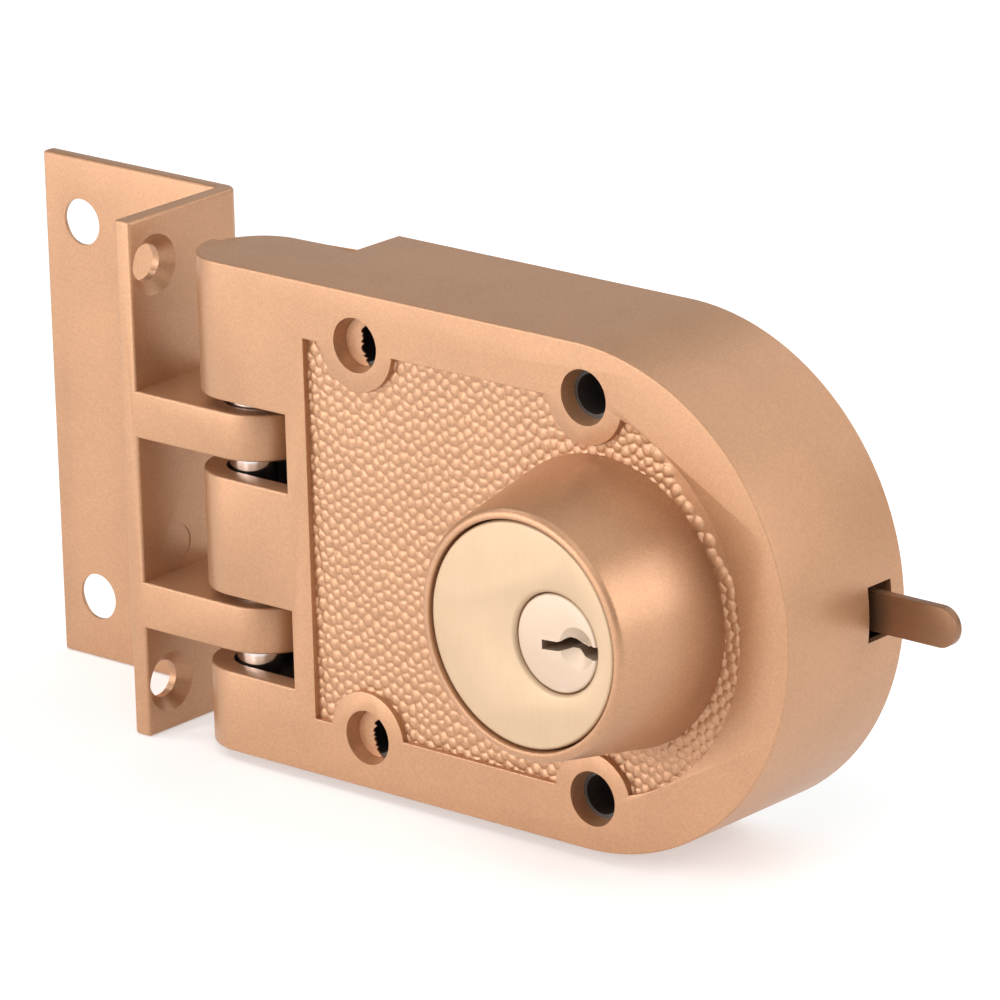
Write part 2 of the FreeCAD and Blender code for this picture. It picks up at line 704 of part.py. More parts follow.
def make_tumblers():
    """Key pins in the plug and driver pins in the body, meeting at the shear line."""
    for i, y in enumerate(tumbler_ys(), start=1):
        length = f"(key_pin_longest - key_pin_step * mod({i * 2}; key_pin_steps))"
        stem = rod(f"key_pin_stem_{i}", "x", "tumbler_radius",
                   ("key_pin_x", f"key_pin_x + {length} - key_pin_tip_length"), (y, "0"))
        tip = taper(f"key_pin_tip_{i}", "x", ("tumbler_radius", "tumbler_radius * key_pin_tip"),
                    (f"key_pin_x + {length} - key_pin_tip_length", f"key_pin_x + {length}"), (y, "0"))
        piece(f"key_pin_{i}", fuse(f"key_pin_solid_{i}", stem, tip))
        driver = rod(f"driver_{i}", "x", "tumbler_radius", ("driver_start", "driver_end"), (y, "0"))
        piece(f"driver_pin_{i}", driver)


def coil_shape(length, radius, wire, turns):
    """A compression coil along +X from the origin: one tube on arcs of a quarter turn."""
    pitch = (length - wire) / turns

    def point(quarter):
        angle = quarter * math.pi / 2
        return FreeCAD.Vector(wire / 2 + pitch * quarter / 4, radius * math.cos(angle),
                              radius * math.sin(angle))
    arcs = [Part.Arc(point(q), point(q + 0.5), point(q + 1)).toShape() for q in range(turns * 4)]
    start = arcs[0].tangentAt(arcs[0].FirstParameter)
    profile = Part.Wire(Part.Circle(point(0), start, wire / 2).toShape())
    return Part.Wire(arcs).makePipeShell([profile], True, False)


def coil_piece(node, shape, x, y):
    spring = doc.addObject("Part::Feature", node + "_coil")
    spring.Shape = shape
    spring.Placement = FreeCAD.Placement(FreeCAD.Vector(x, y, 0), FreeCAD.Rotation())
    return piece(node, spring)


def make_springs():
    seat = value("spring_seat_gap")
    start, stop = value("chamber_end") + seat, value("driver_start") - seat
    wire = value("tumbler_wire")
    coil = coil_shape(stop - start, value("tumbler_radius") - wire / 2 - value("coil_gap"), wire,
                      int(value("tumbler_spring_turns")))
    for i in range(int(value("tumbler_count"))):
        y = value("face") + value("first_tumbler") + value("tumbler_pitch") * i
        coil_piece(f"tumbler_spring_{i + 1}", coil, start, y)
    wire = value("spring_wire")
    coil = coil_shape(value("spring_length"), (value("spring_diameter") - wire) / 2, wire,
                      int(value("spring_turns")))
    coil_piece("shutter_spring", coil, value("anchor_x") + seat, value("spring_y"))


def make_clamp():
    """The plate that holds the cylinder from behind and carries the hub, and its two screws."""
    screw = "clamp_screw / 2 + small_screw_gap"
    holes = [("plug_x - cylinder_x - clamp_centre_offset", "0", "journal_radius + journal_gap"),
             ("-clamp_centre_offset", "clamp_screw_reach", screw),
             ("-clamp_centre_offset", "-clamp_screw_reach", screw)]
    body_pad("cylinder_clamp", "XZ_Plane", ("clamp_width", "clamp_reach * 2"), holes, "clamp_thickness",
             ("cylinder_x + clamp_centre_offset", "clamp_back", "0"))
    screws = []
    under_head, top = "clamp_back + seat_gap", "clamp_back + clamp_head_height"
    for i, at in enumerate(clamp_screw_places()):
        stem = rod(f"clamp_screw_stem_{i}", "y", "clamp_screw / 2",
                   ("cylinder_back - clamp_screw_length", under_head), at)
        head = rod(f"clamp_screw_head_{i}", "y", "clamp_screw_head / 2", (under_head, top), at)
        screws.append(slotted_screw(f"clamp_screw_{i}", at, stem, head,
                                    ("driver_slot", f"{top} - driver_slot", f"{top} + cut_over")))
    group("clamp_screws", screws)


def make_hub():
    """The hub in the clamp's bore, its arm at the locked position, and the arm's pin."""
    journal = rod("hub_journal_rod", "y", "journal_radius", ("cylinder_back + hub_end_gap", "arm_back"),
                  PLUG_AT)
    flange = rod("hub_flange", "y", "hub_collar / 2", ("arm_front", "hub_back"), PLUG_AT)
    arm = doc.addObject("Part::Box", "hub_arm")
    arm.Placement.Rotation = FreeCAD.Rotation(FreeCAD.Vector(0, 1, 0), 1)
    bind(arm, Length="arm_radius", Width="arm_thickness", Height="arm_end_width")
    bind(arm, Placement_Rotation_Angle="180 - arm_swing / 2")
    # The middle line of the arm starts on the plug's axis and falls to the arm's pin.
    locate(arm, "plug_x - arm_end_width / 2 * sin(arm_swing / 2)", "arm_front",
           "arm_end_width / 2 * cos(arm_swing / 2)")
    at = ("cam_pin_x", "-arm_drop")
    tip = rod("hub_arm_tip", "y", "arm_end_width / 2", ("arm_front", "arm_back"), at)
    room = "tail_thickness / 2 + tail_gap"
    blade = box("hub_blade_slot", (f"plug_x - ({room})", f"plug_x + {room}"),
                ("cylinder_back", "hub_back + cut_over"),
                ("-tail_width / 2 - tail_gap", "tail_width / 2 + tail_gap"))
    hole = rod("cam_pin_hole", "y", "cam_pin_diameter / 2 + press_gap",
               ("arm_front - cut_over", "arm_back + cut_over"), at)
    piece("cam_hub", cut("hub_cut", fuse("hub_solid", journal, flange, arm, tip), blade, hole))
    piece("cam_pin", rod("cam_pin_rod", "y", "cam_pin_diameter / 2", ("carrier_front", "arm_back"), at))


def make_bolt():
    """The carrier with its two arms and fork, and the two round pins riveted to it."""
    top = "upper_arm_bottom + bolt_arm_thickness"
    parts = [
        box("carrier_post_block", ("post_left", "post_right"),
            ("pin_y - bolt_arm_width / 2", "carrier_back"), ("lower_arm_bottom", top)),
        box("carrier_bar", ("post_left", "fork_right"), ("carrier_front", "carrier_back"),
            ("-arm_drop - carrier_bar_height / 2", "-arm_drop + carrier_bar_height / 2")),
    ]
    holes = [box("carrier_fork", ("fork_right - fork_length", "fork_right + cut_over"),
                 ("carrier_front - cut_over", "carrier_back + cut_over"),
                 ("-arm_drop - fork_half", "-arm_drop + fork_half"))]
    for name in ("upper", "lower"):
        bottom, end = name + "_arm_bottom", name + "_pin_bottom"
        span = (bottom, f"{bottom} + bolt_arm_thickness")
        parts.append(box(name + "_arm", ("pin_x", "post_right"),
                         ("pin_y - bolt_arm_width / 2", "pin_y + bolt_arm_width / 2"), span))
        parts.append(rod(name + "_arm_eye", "z", "bolt_radius", span, PIN_AT))
        holes.append(rod(name + "_spigot_hole", "z", "spigot_diameter / 2 + press_gap",
                         (f"{bottom} - cut_over", f"{span[1]} + cut_over"), PIN_AT))
        pin = rod(name + "_pin_rod", "z", "bolt_radius", (end, f"{bottom} - seat_gap"), PIN_AT)
        pin = rounded(name + "_pin_eased", pin, value("pin_end_round"),
                      lambda middle, low=value(end): on(middle.z, low))
        spigot = rod(name + "_spigot", "z", "spigot_diameter / 2",
                     (f"{bottom} - wall_root", span[1]), PIN_AT)
        piece(name + "_bolt_pin", fuse(name + "_pin_solid", pin, spigot))
    piece("bolt_carrier", cut("carrier_cut", fuse("carrier_solid", *parts), *holes))


def make_guard():
    """The sprung plate behind the back plate's window, with its tab that shows outside."""
    span = ("guard_front - cut_over", "guard_back + cut_over")
    plate = box("guard_plate", ("guard_left", "guard_right"), ("guard_front", "guard_back"),
                ("-guard_height / 2", "guard_height / 2"))
    room = rod("guard_room", "y", "end_radius - side_wall - guard_end_gap", span, ("end_centre_x", "0"))
    tab_z = ("-tab_height / 2", "tab_height / 2")
    tip_x = "tab_tip - tab_height / 2"
    parts = [
        common("guard_trimmed", plate, room),
        box("tab_riser", ("guard_right - tab_thickness", "guard_right"), ("tab_front", "guard_back"), tab_z),
        box("tab_strip", ("guard_right - tab_thickness", tip_x), ("tab_front", "tab_back"), tab_z),
        rod("tab_tip_round", "y", "tab_height / 2", ("tab_front", "tab_back"), (tip_x, "0")),
        box("guard_lug", ("guard_left", "guard_left + lug_thickness"),
            ("guard_front - lug_height", "guard_back"), ("-lug_width / 2", "lug_width / 2")),
    ]
    cuts = [rod("guard_window_hole", "y", "guard_window / 2", span, ("plug_x + guard_travel", "0"))]
    half = "rivet_radius + rivet_gap"
    for i, (x, z) in enumerate(rivet_places()):
        far = f"{x} + guard_travel"
        cuts.append(rod(f"rivet_slot_near_{i}", "y", half, span, (x, z)))
        cuts.append(rod(f"rivet_slot_far_{i}", "y", half, span, (far, z)))
        cuts.append(box(f"rivet_slot_{i}", (x, far), span, (f"{z} - ({half})", f"{z} + {half}")))
    piece("shutter_guard", cut("guard_cut", fuse("guard_solid", *parts), *cuts))

    rivets = []
    for i, at in enumerate(rivet_places()):
        stem = rod(f"rivet_stem_{i}", "y", "rivet_radius - press_gap", ("rivet_head_front", "0"), at)
        head = rod(f"rivet_head_{i}", "y", "rivet_head / 2",
                   ("rivet_head_front", "rivet_head_front + rivet_head_thickness"), at)
        rivets.append(fuse(f"rivet_{i}", stem, head))
    group("shutter_rivets", rivets)


def make_strike():
    """The angle that screws to the frame, with the two ringed ears around the bolt's pins."""
    z_span = ("strike_bottom", "strike_top")
    right, back = value("flange_right"), value("strike_back")
    flange = box("strike_flange_block", ("flange_left", "flange_right"),
                 ("strike_front", "strike_back"), z_span)
    plate = box("strike_plate_block", ("strike_plate_left", "flange_right"),
                ("strike_plate_front", "strike_back"), z_span)
    parts = [rounded("strike_eased", fuse("strike_angle", flange, plate), value("strike_corner"),
                     lambda middle: on(middle.x, right) and on(middle.y, back))]
    holes = []
    for name, centre in (("upper", "upper_ear_z"), ("lower", "lower_ear_z")):
        low, high = f"{centre} - ear_height / 2", f"{centre} + ear_height / 2"
        parts.append(box(name + "_ear_block", ("flange_right - wall_root", "pin_x"),
                         ("pin_y - ear_radius", "pin_y + ear_radius"), (low, high)))
        parts.append(rod(name + "_ear_ring", "z", "ear_radius", (low, high), PIN_AT))
        holes.append(rod(name + "_ear_bore", "z", "bolt_radius + ear_bore_gap",
                         (f"{low} - cut_over", f"{high} + cut_over"), PIN_AT))
    for i, z in enumerate(("strike_top - plate_hole_end", "strike_bottom + plate_hole_end")):
        holes.append(rod(f"strike_plate_hole_{i}", "y", "plate_hole / 2",
                         ("strike_plate_front - cut_over", "strike_back + cut_over"), ("plate_hole_x", z)))
    sink = "(flange_sink - flange_hole) / 2"
    for i, z in enumerate(("strike_top - flange_hole_end", "strike_bottom + flange_hole_end")):
        at = ("flange_hole_y", z)
        holes.append(rod(f"flange_hole_{i}", "x", "flange_hole / 2",
                         ("flange_left - cut_over", "flange_right + cut_over"), at))
        holes.append(taper(f"flange_sink_{i}", "x", ("flange_hole / 2", f"flange_sink / 2 + {sink}"),
                           (f"flange_right - {sink}", f"flange_right + {sink}"), at))
    holes.append(rod("ejector_mark_cut", "x", "ejector_mark / 2",
                     ("flange_right - ejector_depth", "flange_right + cut_over"),
                     ("flange_hole_y + ejector_set_back", "ejector_z")))
    piece("strike", cut("strike_cut", fuse("strike_solid", *parts), *holes))


make_case()
make_back_plate()
make_cylinder_body()
make_plug()
make_tumblers()
make_springs()
make_clamp()
make_hub()
make_bolt()
make_guard()
make_strike()
doc.recompute()

for obj in doc.Objects:
    if "Invalid" in obj.State or "Error" in obj.State:
        raise RuntimeError(f"{obj.Name} did not compute: {obj.State}")
for obj in pieces:
    if obj.Shape.isNull() or not obj.Shape.isValid():
        raise RuntimeError(f"{obj.Label} has no valid shape")

os.makedirs("parts", exist_ok=True)
for obj in pieces:
    obj.Shape.exportStep(f"parts/{obj.Label}.step")
    print(f"{obj.Label}: {len(obj.Shape.Solids)} solid(s), {obj.Shape.Volume:.1f} mm3")
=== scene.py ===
import math
import random

import bmesh
import bpy
import numpy as np
from mathutils import Matrix, Vector


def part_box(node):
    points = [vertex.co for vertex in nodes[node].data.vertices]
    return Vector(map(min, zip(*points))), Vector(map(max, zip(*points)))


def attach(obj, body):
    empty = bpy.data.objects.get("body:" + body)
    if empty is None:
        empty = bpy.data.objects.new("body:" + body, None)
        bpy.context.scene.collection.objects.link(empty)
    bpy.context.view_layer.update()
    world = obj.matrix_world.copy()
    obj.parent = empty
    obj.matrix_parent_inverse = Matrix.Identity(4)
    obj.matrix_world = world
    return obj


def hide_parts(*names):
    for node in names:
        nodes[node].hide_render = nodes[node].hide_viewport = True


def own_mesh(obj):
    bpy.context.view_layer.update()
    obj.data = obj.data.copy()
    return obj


MM = 0.001
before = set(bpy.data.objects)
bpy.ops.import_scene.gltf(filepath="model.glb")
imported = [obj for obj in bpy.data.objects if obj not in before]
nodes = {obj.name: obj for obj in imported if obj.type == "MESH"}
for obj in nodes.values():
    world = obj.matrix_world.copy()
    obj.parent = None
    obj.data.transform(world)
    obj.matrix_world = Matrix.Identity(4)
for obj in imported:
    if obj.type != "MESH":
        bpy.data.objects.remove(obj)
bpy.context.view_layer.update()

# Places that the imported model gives, in metres.
case_low, case_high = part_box("case")
strike_low, strike_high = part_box("strike")
body_low, body_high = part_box("cylinder_body")
plug_low, plug_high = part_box("cylinder_plug")
plate_low, plate_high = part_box("back_plate")
upper_pin_low, upper_pin_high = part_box("upper_bolt_pin")
lower_pin_low, lower_pin_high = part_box("lower_bolt_pin")
guard_low, guard_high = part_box("shutter_guard")

# Case: outline, knuckles, slots, panel and screw rings.
RIM_Y = case_low.y
TOP = case_high.z
CASE_END = case_high.x
END_X = CASE_END - TOP
LEFT = -31.2 * MM
FRONT = -22.7 * MM
EDGE_ROUND = 0.7 * MM
SLOT_ROUND = 0.3 * MM
PANEL_ROUND = 0.22 * MM
KNUCKLE_RADIUS = 7.8 * MM
KNUCKLE_BACK = FRONT + 2 * KNUCKLE_RADIUS
KNUCKLE_STEP = 0.5 * MM
PIN_X = (upper_pin_low.x + upper_pin_high.x) / 2
PIN_Y = (upper_pin_low.y + upper_pin_high.y) / 2
SLOT_HEIGHT = 10.4 * MM
SLOT_CENTRES = (9.4 * MM, -16.9 * MM)
CAVITY_LEFT = LEFT + 1.8 * MM
SIDE_WALL = 2.2 * MM
WALL_INSIDE = FRONT + 2.8 * MM
PANEL_LEFT = -27.55 * MM
PANEL_RADIUS = 25.4 * MM
PANEL_FLOOR = FRONT + 1.2 * MM
PEBBLE_TURN = math.radians(38)
SCREWS = [(x * MM, z * MM) for x in (-18.7, 18.7) for z in (-26.1, 26.1)]
SCREW_HOLE = 2.6 * MM
SCREW_SINK = 3.6 * MM
SINK_DEPTH = 2.0 * MM
SCREW_RING = 6.1 * MM
SCREW_TUBE = 5.0 * MM
PLATE_POST = 2.8 * MM
CLAMP_POST = 2.5 * MM
CLAMP_POST_Z = 18.4 * MM
BARREL_WALL = 2.2 * MM
PLATE_SCREW_RING = 27.6 * MM
PLATE_SCREWS = [(0.0, -PLATE_SCREW_RING), (0.0, PLATE_SCREW_RING)] + [
    (END_X + PLATE_SCREW_RING * math.cos(a), PLATE_SCREW_RING * math.sin(a))
    for a in (math.radians(-43), math.radians(43))]
PLATE_SCREW_HOLE = 1.34 * MM
PLATE_FACE = -1.6 * MM
CHANNEL_RADIUS = 4.9 * MM
CHANNEL_LOW = lower_pin_low.z - 0.3 * MM
CHANNEL_HIGH = TOP - 2.0 * MM
TAB_Y = guard_low.y + 1.7 * MM
TAB_SLOT_HALF = (2.25 * MM, 3.6 * MM)
WINDOW_RADIUS = 6.3 * MM
RIVET_X = 23.0 * MM
RIVET_ZS = (-9.2 * MM, 9.2 * MM)
RIVET_HOLE = 1.2 * MM
RIVET_SLOT_HALF = 1.45 * MM
LUG_HALF = 2.5 * MM
LUG_THICK = 1.2 * MM
LUG_WINDOW = 4.6 * MM
GUARD_FRONT = -3.0 * MM
GUARD_RISER = 46.2 * MM
TAB_HALF = 2.6 * MM
SHARP_ANGLE = math.radians(30)
OVER = 1.0 * MM  # How far a cutting tool reaches past the surface that it opens.

# Collar, cylinder and plug.
CYLINDER_X = (body_low.x + body_high.x) / 2
CYLINDER_RADIUS = 14.48 * MM
COLLAR_RIM = 16.0 * MM
COLLAR_BASE = 19.05 * MM
COLLAR_BORE = 14.75 * MM
FACE_Y = body_low.y
CYLINDER_BACK = body_high.y
FLANGE_FRONT = CYLINDER_BACK - 2.0 * MM
PLUG_X = CYLINDER_X + 5.35 * MM
PLUG_RADIUS = 6.32 * MM
PLUG_BORE = 6.45 * MM
PLUG_SET_BACK = 0.35 * MM
TUMBLER_YS = [FACE_Y + (6.5 + 3.9 * i) * MM for i in range(5)]
TUMBLER_BORE = 1.49 * MM
DRIVER_WIRE = 0.34 * MM
SHUTTER_WIRE = 0.4 * MM
SHUTTER_TRAVEL = 11.5 * MM
COIL_STEPS = 24
COVER_DEPTH = 1.05 * MM
COVER_HALF = (1.95 * MM, 2.2 * MM)
CLIP_ROOM = (7.6 * MM, 1.8 * MM)
CLIP_CORE = 5.38 * MM
BLADE_HALF = (1.02 * MM, 3.12 * MM)
BLADE_SEAT = 2.2 * MM
KEYWAY_DEPTH = 24 * MM
BOLT_RADIUS = 4.5 * MM
SPIGOT_RADIUS = 1.7 * MM
SPIGOT_LENGTH = 1.92 * MM

# Strike.
FLANGE_RIGHT = -57.25 * MM
FLANGE_LEFT = FLANGE_RIGHT - 2.65 * MM
PLATE_FRONT = strike_high.y - 2.05 * MM
EAR_RADIUS = 7.6 * MM
EAR_BORE = 5.0 * MM
PLATE_HOLE = 3.15 * MM
FLANGE_HOLE = 2.5 * MM
STRIKE_ROUND = 0.42 * MM
EARS = [(z - 3.15 * MM, z + 3.15 * MM) for z in (9.85 * MM, -16.15 * MM)]

# Photograph's camera: the place it stood, how it was turned and how long its lens was.
CAMERA_AT = (0.58639, -0.68871, 0.29810)
CAMERA_AZIMUTH = 41.13
CAMERA_ELEVATION = 18.03
CAMERA_ROLL = -1.55
CAMERA_LENS = 270.24

# Studio: the even light of the room, and the pale floor with the white that it adds where it is seen.
ROOM_LIGHT = 0.12
FLOOR_COLOUR = (0.8, 0.8, 0.8, 1)
FLOOR_GLOW = 0.4

# Softboxes: name, azimuth and elevation in degrees, distance and size in metres, power in watts.
SOFTBOXES = [
    ("key_softbox", -38, 5, 1.3, 1.0, 12.2),
    ("fill_softbox", -8, 8, 1.3, 1.0, 7.5),
    ("front_softbox", 32, 50, 1.3, 0.8, 4),
    ("side_softbox", 105, 24, 1.3, 0.9, 9.4),
    ("back_softbox", -150, 26, 1.3, 1.0, 1.4),
    ("high_softbox", 165, 42, 1.3, 1.1, 4.5),
    ("top_softbox", 0, 86, 1.3, 1.0, 3.2),
    ("edge_softbox", -64, 46, 1.2, 0.3, 2),
]


def only(*objects):
    bpy.ops.object.select_all(action="DESELECT")
    for one in objects:
        one.select_set(True)
    bpy.context.view_layer.objects.active = objects[0]


def added(name):
    """The primitive just added, named, with its place in its mesh."""
    piece = bpy.context.object
    piece.name = name
    piece.data.name = name
    only(piece)
    bpy.ops.object.transform_apply(location=True, rotation=True, scale=True)
    return piece


TURNS = {"x": (0, math.pi / 2, 0), "y": (-math.pi / 2, 0, 0), "z": (0, 0, 0)}


def place(axis, along, at):
    """A point from its measure along an axis and its other two, in the order x, y, z."""
    return {"x": (along, *at), "y": (at[0], along, at[1]), "z": (*at, along)}[axis]


def rod(name, axis, radius, span, at, steps=96):
    bpy.ops.mesh.primitive_cylinder_add(
        vertices=steps, radius=radius, depth=span[1] - span[0],
        location=place(axis, (span[0] + span[1]) / 2, at), rotation=TURNS[axis])
    return added(name)


def taper(name, axis, radii, span, at, steps=96):
    bpy.ops.mesh.primitive_cone_add(
        vertices=steps, radius1=radii[0], radius2=radii[1], depth=span[1] - span[0],
        location=place(axis, (span[0] + span[1]) / 2, at), rotation=TURNS[axis])
    return added(name)


def block(name, x, y, z):
    bpy.ops.mesh.primitive_cube_add(
        size=1, location=[(a + b) / 2 for a, b in (x, y, z)], scale=[b - a for a, b in (x, y, z)])
    return added(name)


def joined(*objects):
    """Several separate tools as one."""
    if len(objects) > 1:
        only(*objects)
        bpy.ops.object.join()
    return objects[0]


def boolean(piece, operation, *tools):
    tool = joined(*tools)
    only(piece)
    step = piece.modifiers.new("carve", "BOOLEAN")
    step.operation = operation
    step.solver = "EXACT"
    step.object = tool
    bpy.ops.object.modifier_apply(modifier=step.name)
    bpy.data.objects.remove(tool)
    return piece


def carve(piece, *tools):
    return boolean(piece, "DIFFERENCE", *tools)


def weld(piece, *tools):
    return boolean(piece, "UNION", *tools)


def pick(piece, kind, test):
    """In edit mode, selects the vertices, edges or faces that pass a test; returns how many."""
    bpy.ops.mesh.select_mode(type=kind)
    bpy.ops.mesh.select_all(action="DESELECT")
    mesh = bmesh.from_edit_mesh(piece.data)
    elements = {"VERT": mesh.verts, "EDGE": mesh.edges, "FACE": mesh.faces}[kind]
    count = 0
    for element in elements:
        if test(element):
            element.select_set(True)
            count += 1
    mesh.select_flush_mode()
    bmesh.update_edit_mesh(piece.data)
    return count


def cleaned(piece):
    """Merges doubles and the flat faces that a boolean leaves split, and shuts hairline cracks."""
    only(piece)
    bpy.ops.object.mode_set(mode="EDIT")
    bpy.ops.mesh.select_all(action="SELECT")
    bpy.ops.mesh.remove_doubles(threshold=1e-6)
    bpy.ops.mesh.dissolve_limited(angle_limit=math.radians(0.2))
    if pick(piece, "EDGE", lambda e: e.is_boundary):
        bpy.ops.mesh.fill_holes(sides=0)
    bpy.ops.object.mode_set(mode="OBJECT")
    return piece


def is_sharp(edge):
    return len(edge.link_faces) == 2 and edge.calc_face_angle(0) > SHARP_ANGLE


def eased(piece, width, segments, test, clamp=True):
    """Rounds the sharp edges whose two ends pass a test."""
    only(piece)
    bpy.ops.object.mode_set(mode="EDIT")
    count = pick(piece, "EDGE", lambda e: is_sharp(e) and test(e.verts[0].co, e.verts[1].co))
    if count:
        bpy.ops.mesh.bevel(offset=width, segments=segments, affect="EDGES", clamp_overlap=clamp)
    bpy.ops.object.mode_set(mode="OBJECT")
    return piece


def eased_all(piece, width, segments, least):
    """Rounds every edge sharper than an angle in degrees, as tumbling leaves a pressing."""
    only(piece)
    step = piece.modifiers.new("ease", "BEVEL")
    step.width = width
    step.segments = segments
    step.limit_method = "ANGLE"
    step.angle_limit = math.radians(least)
    step.use_clamp_overlap = True
    bpy.ops.object.modifier_apply(modifier=step.name)
    return piece


def smoothed(piece, angle=32):
    only(piece)
    bpy.ops.object.shade_smooth_by_angle(angle=math.radians(angle))
    return piece


def near(a, b, slack=2e-6):
    return abs(a - b) < slack


def half_round(name, axis, centre, radius, flat_x, span, steps=192):
    """A slab with one half-round end, facing away from its flat end at flat_x."""
    bpy.ops.mesh.primitive_circle_add(
        vertices=steps, radius=radius, fill_type="NOTHING",
        location=place(axis, span[0], centre), rotation=TURNS[axis])
    piece = added(name)
    bpy.ops.object.mode_set(mode="EDIT")
    away = 1 if flat_x < centre[0] else -1
    pick(piece, "VERT", lambda v: (v.co.x - centre[0]) * away < -1e-6)
    bpy.ops.mesh.delete(type="VERT")
    pick(piece, "VERT", lambda v: near(v.co.x, centre[0]))
    bpy.ops.mesh.extrude_vertices_move(
        TRANSFORM_OT_translate={"value": (flat_x - centre[0], 0, 0)})
    bpy.ops.mesh.edge_face_add()
    bpy.ops.mesh.select_all(action="SELECT")
    bpy.ops.mesh.edge_face_add()
    bpy.ops.mesh.select_all(action="SELECT")
    step = {"y": (0, span[1] - span[0], 0), "z": (0, 0, span[1] - span[0])}[axis]
    bpy.ops.mesh.extrude_region_move(TRANSFORM_OT_translate={"value": step})
    bpy.ops.mesh.select_all(action="SELECT")
    bpy.ops.mesh.normals_make_consistent(inside=False)
    bpy.ops.object.mode_set(mode="OBJECT")
    return piece


def prism(name, outline, span):
    """A straight prism along Y over an outline of (x, z) points."""
    bpy.ops.mesh.primitive_circle_add(vertices=len(outline), radius=1, fill_type="NOTHING")
    piece = bpy.context.object
    piece.name = name
    piece.data.name = name
    for vertex, (x, z) in zip(piece.data.vertices, outline):
        vertex.co = (x, span[0], z)
    only(piece)
    bpy.ops.object.mode_set(mode="EDIT")
    bpy.ops.mesh.select_all(action="SELECT")
    bpy.ops.mesh.edge_face_add()
    bpy.ops.mesh.extrude_region_move(TRANSFORM_OT_translate={"value": (0, span[1] - span[0], 0)})
    bpy.ops.mesh.select_all(action="SELECT")
    bpy.ops.mesh.normals_make_consistent(inside=False)
    bpy.ops.object.mode_set(mode="OBJECT")
    return piece


def finished(piece, material, body, *replaced, slot=None, angle=32):
    """Gives a piece its finish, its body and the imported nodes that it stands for."""
    smoothed(piece, angle)
    piece.data.materials.clear()
    piece.data.materials.append(material)
    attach(piece, body)
    if replaced:
        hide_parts(*replaced)
    return piece


def group_of(name, inputs, outputs):
    """An empty shader node group with its sockets."""
    tree = bpy.data.node_groups.new(name, "ShaderNodeTree")
    for label, kind, default in inputs:
        socket = tree.interface.new_socket(label, in_out="INPUT", socket_type=kind)
        if default is not None:
            socket.default_value = default
    for label, kind in outputs:
        tree.interface.new_socket(label, in_out="OUTPUT", socket_type=kind)
    return tree, tree.nodes.new("NodeGroupInput"), tree.nodes.new("NodeGroupOutput")


def math_node(tree, operation, a, b, clamp=False):
    node = tree.nodes.new("ShaderNodeMath")
    node.operation = operation
    node.use_clamp = clamp
    for socket, given in zip(node.inputs, (a, b)):
        if isinstance(given, (int, float)):
            socket.default_value = given
        else:
            tree.links.new(given, socket)
    return node.outputs[0]


def mix_colours(tree, factor, a, b):
    node = tree.nodes.new("ShaderNodeMix")
    node.data_type = "RGBA"
    for socket, given in ((node.inputs[0], factor), (node.inputs[6], a), (node.inputs[7], b)):
        if isinstance(given, bpy.types.NodeSocket):
            tree.links.new(given, socket)
        else:
            socket.default_value = given
    return node.outputs[2]


def make_grain_group():
    """Fine grain and slow blotches of a sprayed metallic coat, from object coordinates."""
    tree, given, out = group_of(
        "sprayed_grain",
        [("Fine Scale", "NodeSocketFloat", 5200.0), ("Blotch Scale", "NodeSocketFloat", 90.0)],
        [("Fine", "NodeSocketFloat"), ("Blotch", "NodeSocketFloat"), ("Flake", "NodeSocketFloat")])
    where = tree.nodes.new("ShaderNodeTexCoord").outputs["Object"]
    fine = tree.nodes.new("ShaderNodeTexNoise")
    fine.inputs["Detail"].default_value = 3.0
    blotch = tree.nodes.new("ShaderNodeTexNoise")
    blotch.inputs["Detail"].default_value = 4.0
    flake = tree.nodes.new("ShaderNodeTexVoronoi")
    for node, label in ((fine, "Fine Scale"), (blotch, "Blotch Scale"), (flake, "Fine Scale")):
        tree.links.new(where, node.inputs["Vector"])
        tree.links.new(given.outputs[label], node.inputs["Scale"])
    split = tree.nodes.new("ShaderNodeSeparateColor")
    tree.links.new(flake.outputs["Color"], split.inputs[0])
    tree.links.new(fine.outputs[0], out.inputs["Fine"])
    tree.links.new(blotch.outputs[0], out.inputs["Blotch"])
    tree.links.new(split.outputs[0], out.inputs["Flake"])
    return tree


def make_brushing_group():
    """Streaks along one axis, as brushing or turning leaves, from object coordinates."""
    tree, given, out = group_of(
        "brushed_streaks",
        [("Stretch", "NodeSocketVector", (1.0, 1.0, 1.0)), ("Scale", "NodeSocketFloat", 2600.0)],
        [("Streaks", "NodeSocketFloat"), ("Stain", "NodeSocketFloat")])
    where = tree.nodes.new("ShaderNodeTexCoord").outputs["Object"]
    stretch = tree.nodes.new("ShaderNodeVectorMath")
    stretch.operation = "MULTIPLY"
    tree.links.new(where, stretch.inputs[0])
    tree.links.new(given.outputs["Stretch"], stretch.inputs[1])
    streaks = tree.nodes.new("ShaderNodeTexNoise")
    streaks.inputs["Detail"].default_value = 2.0
    tree.links.new(stretch.outputs[0], streaks.inputs["Vector"])
    tree.links.new(given.outputs["Scale"], streaks.inputs["Scale"])
    stain = tree.nodes.new("ShaderNodeTexNoise")
    stain.inputs["Scale"].default_value = 160.0
    stain.inputs["Detail"].default_value = 5.0
    tree.links.new(where, stain.inputs["Vector"])
    tree.links.new(streaks.outputs[0], out.inputs["Streaks"])
    tree.links.new(stain.outputs[0], out.inputs["Stain"])
    return tree


GRAIN = make_grain_group()
BRUSHING = make_brushing_group()


def new_material(name, metallic, roughness):
    material = bpy.data.materials.new(name)
    material.use_nodes = True
    shader = material.node_tree.nodes["Principled BSDF"]
    shader.inputs["Metallic"].default_value = metallic
    shader.inputs["Roughness"].default_value = roughness
    return material, material.node_tree, shader


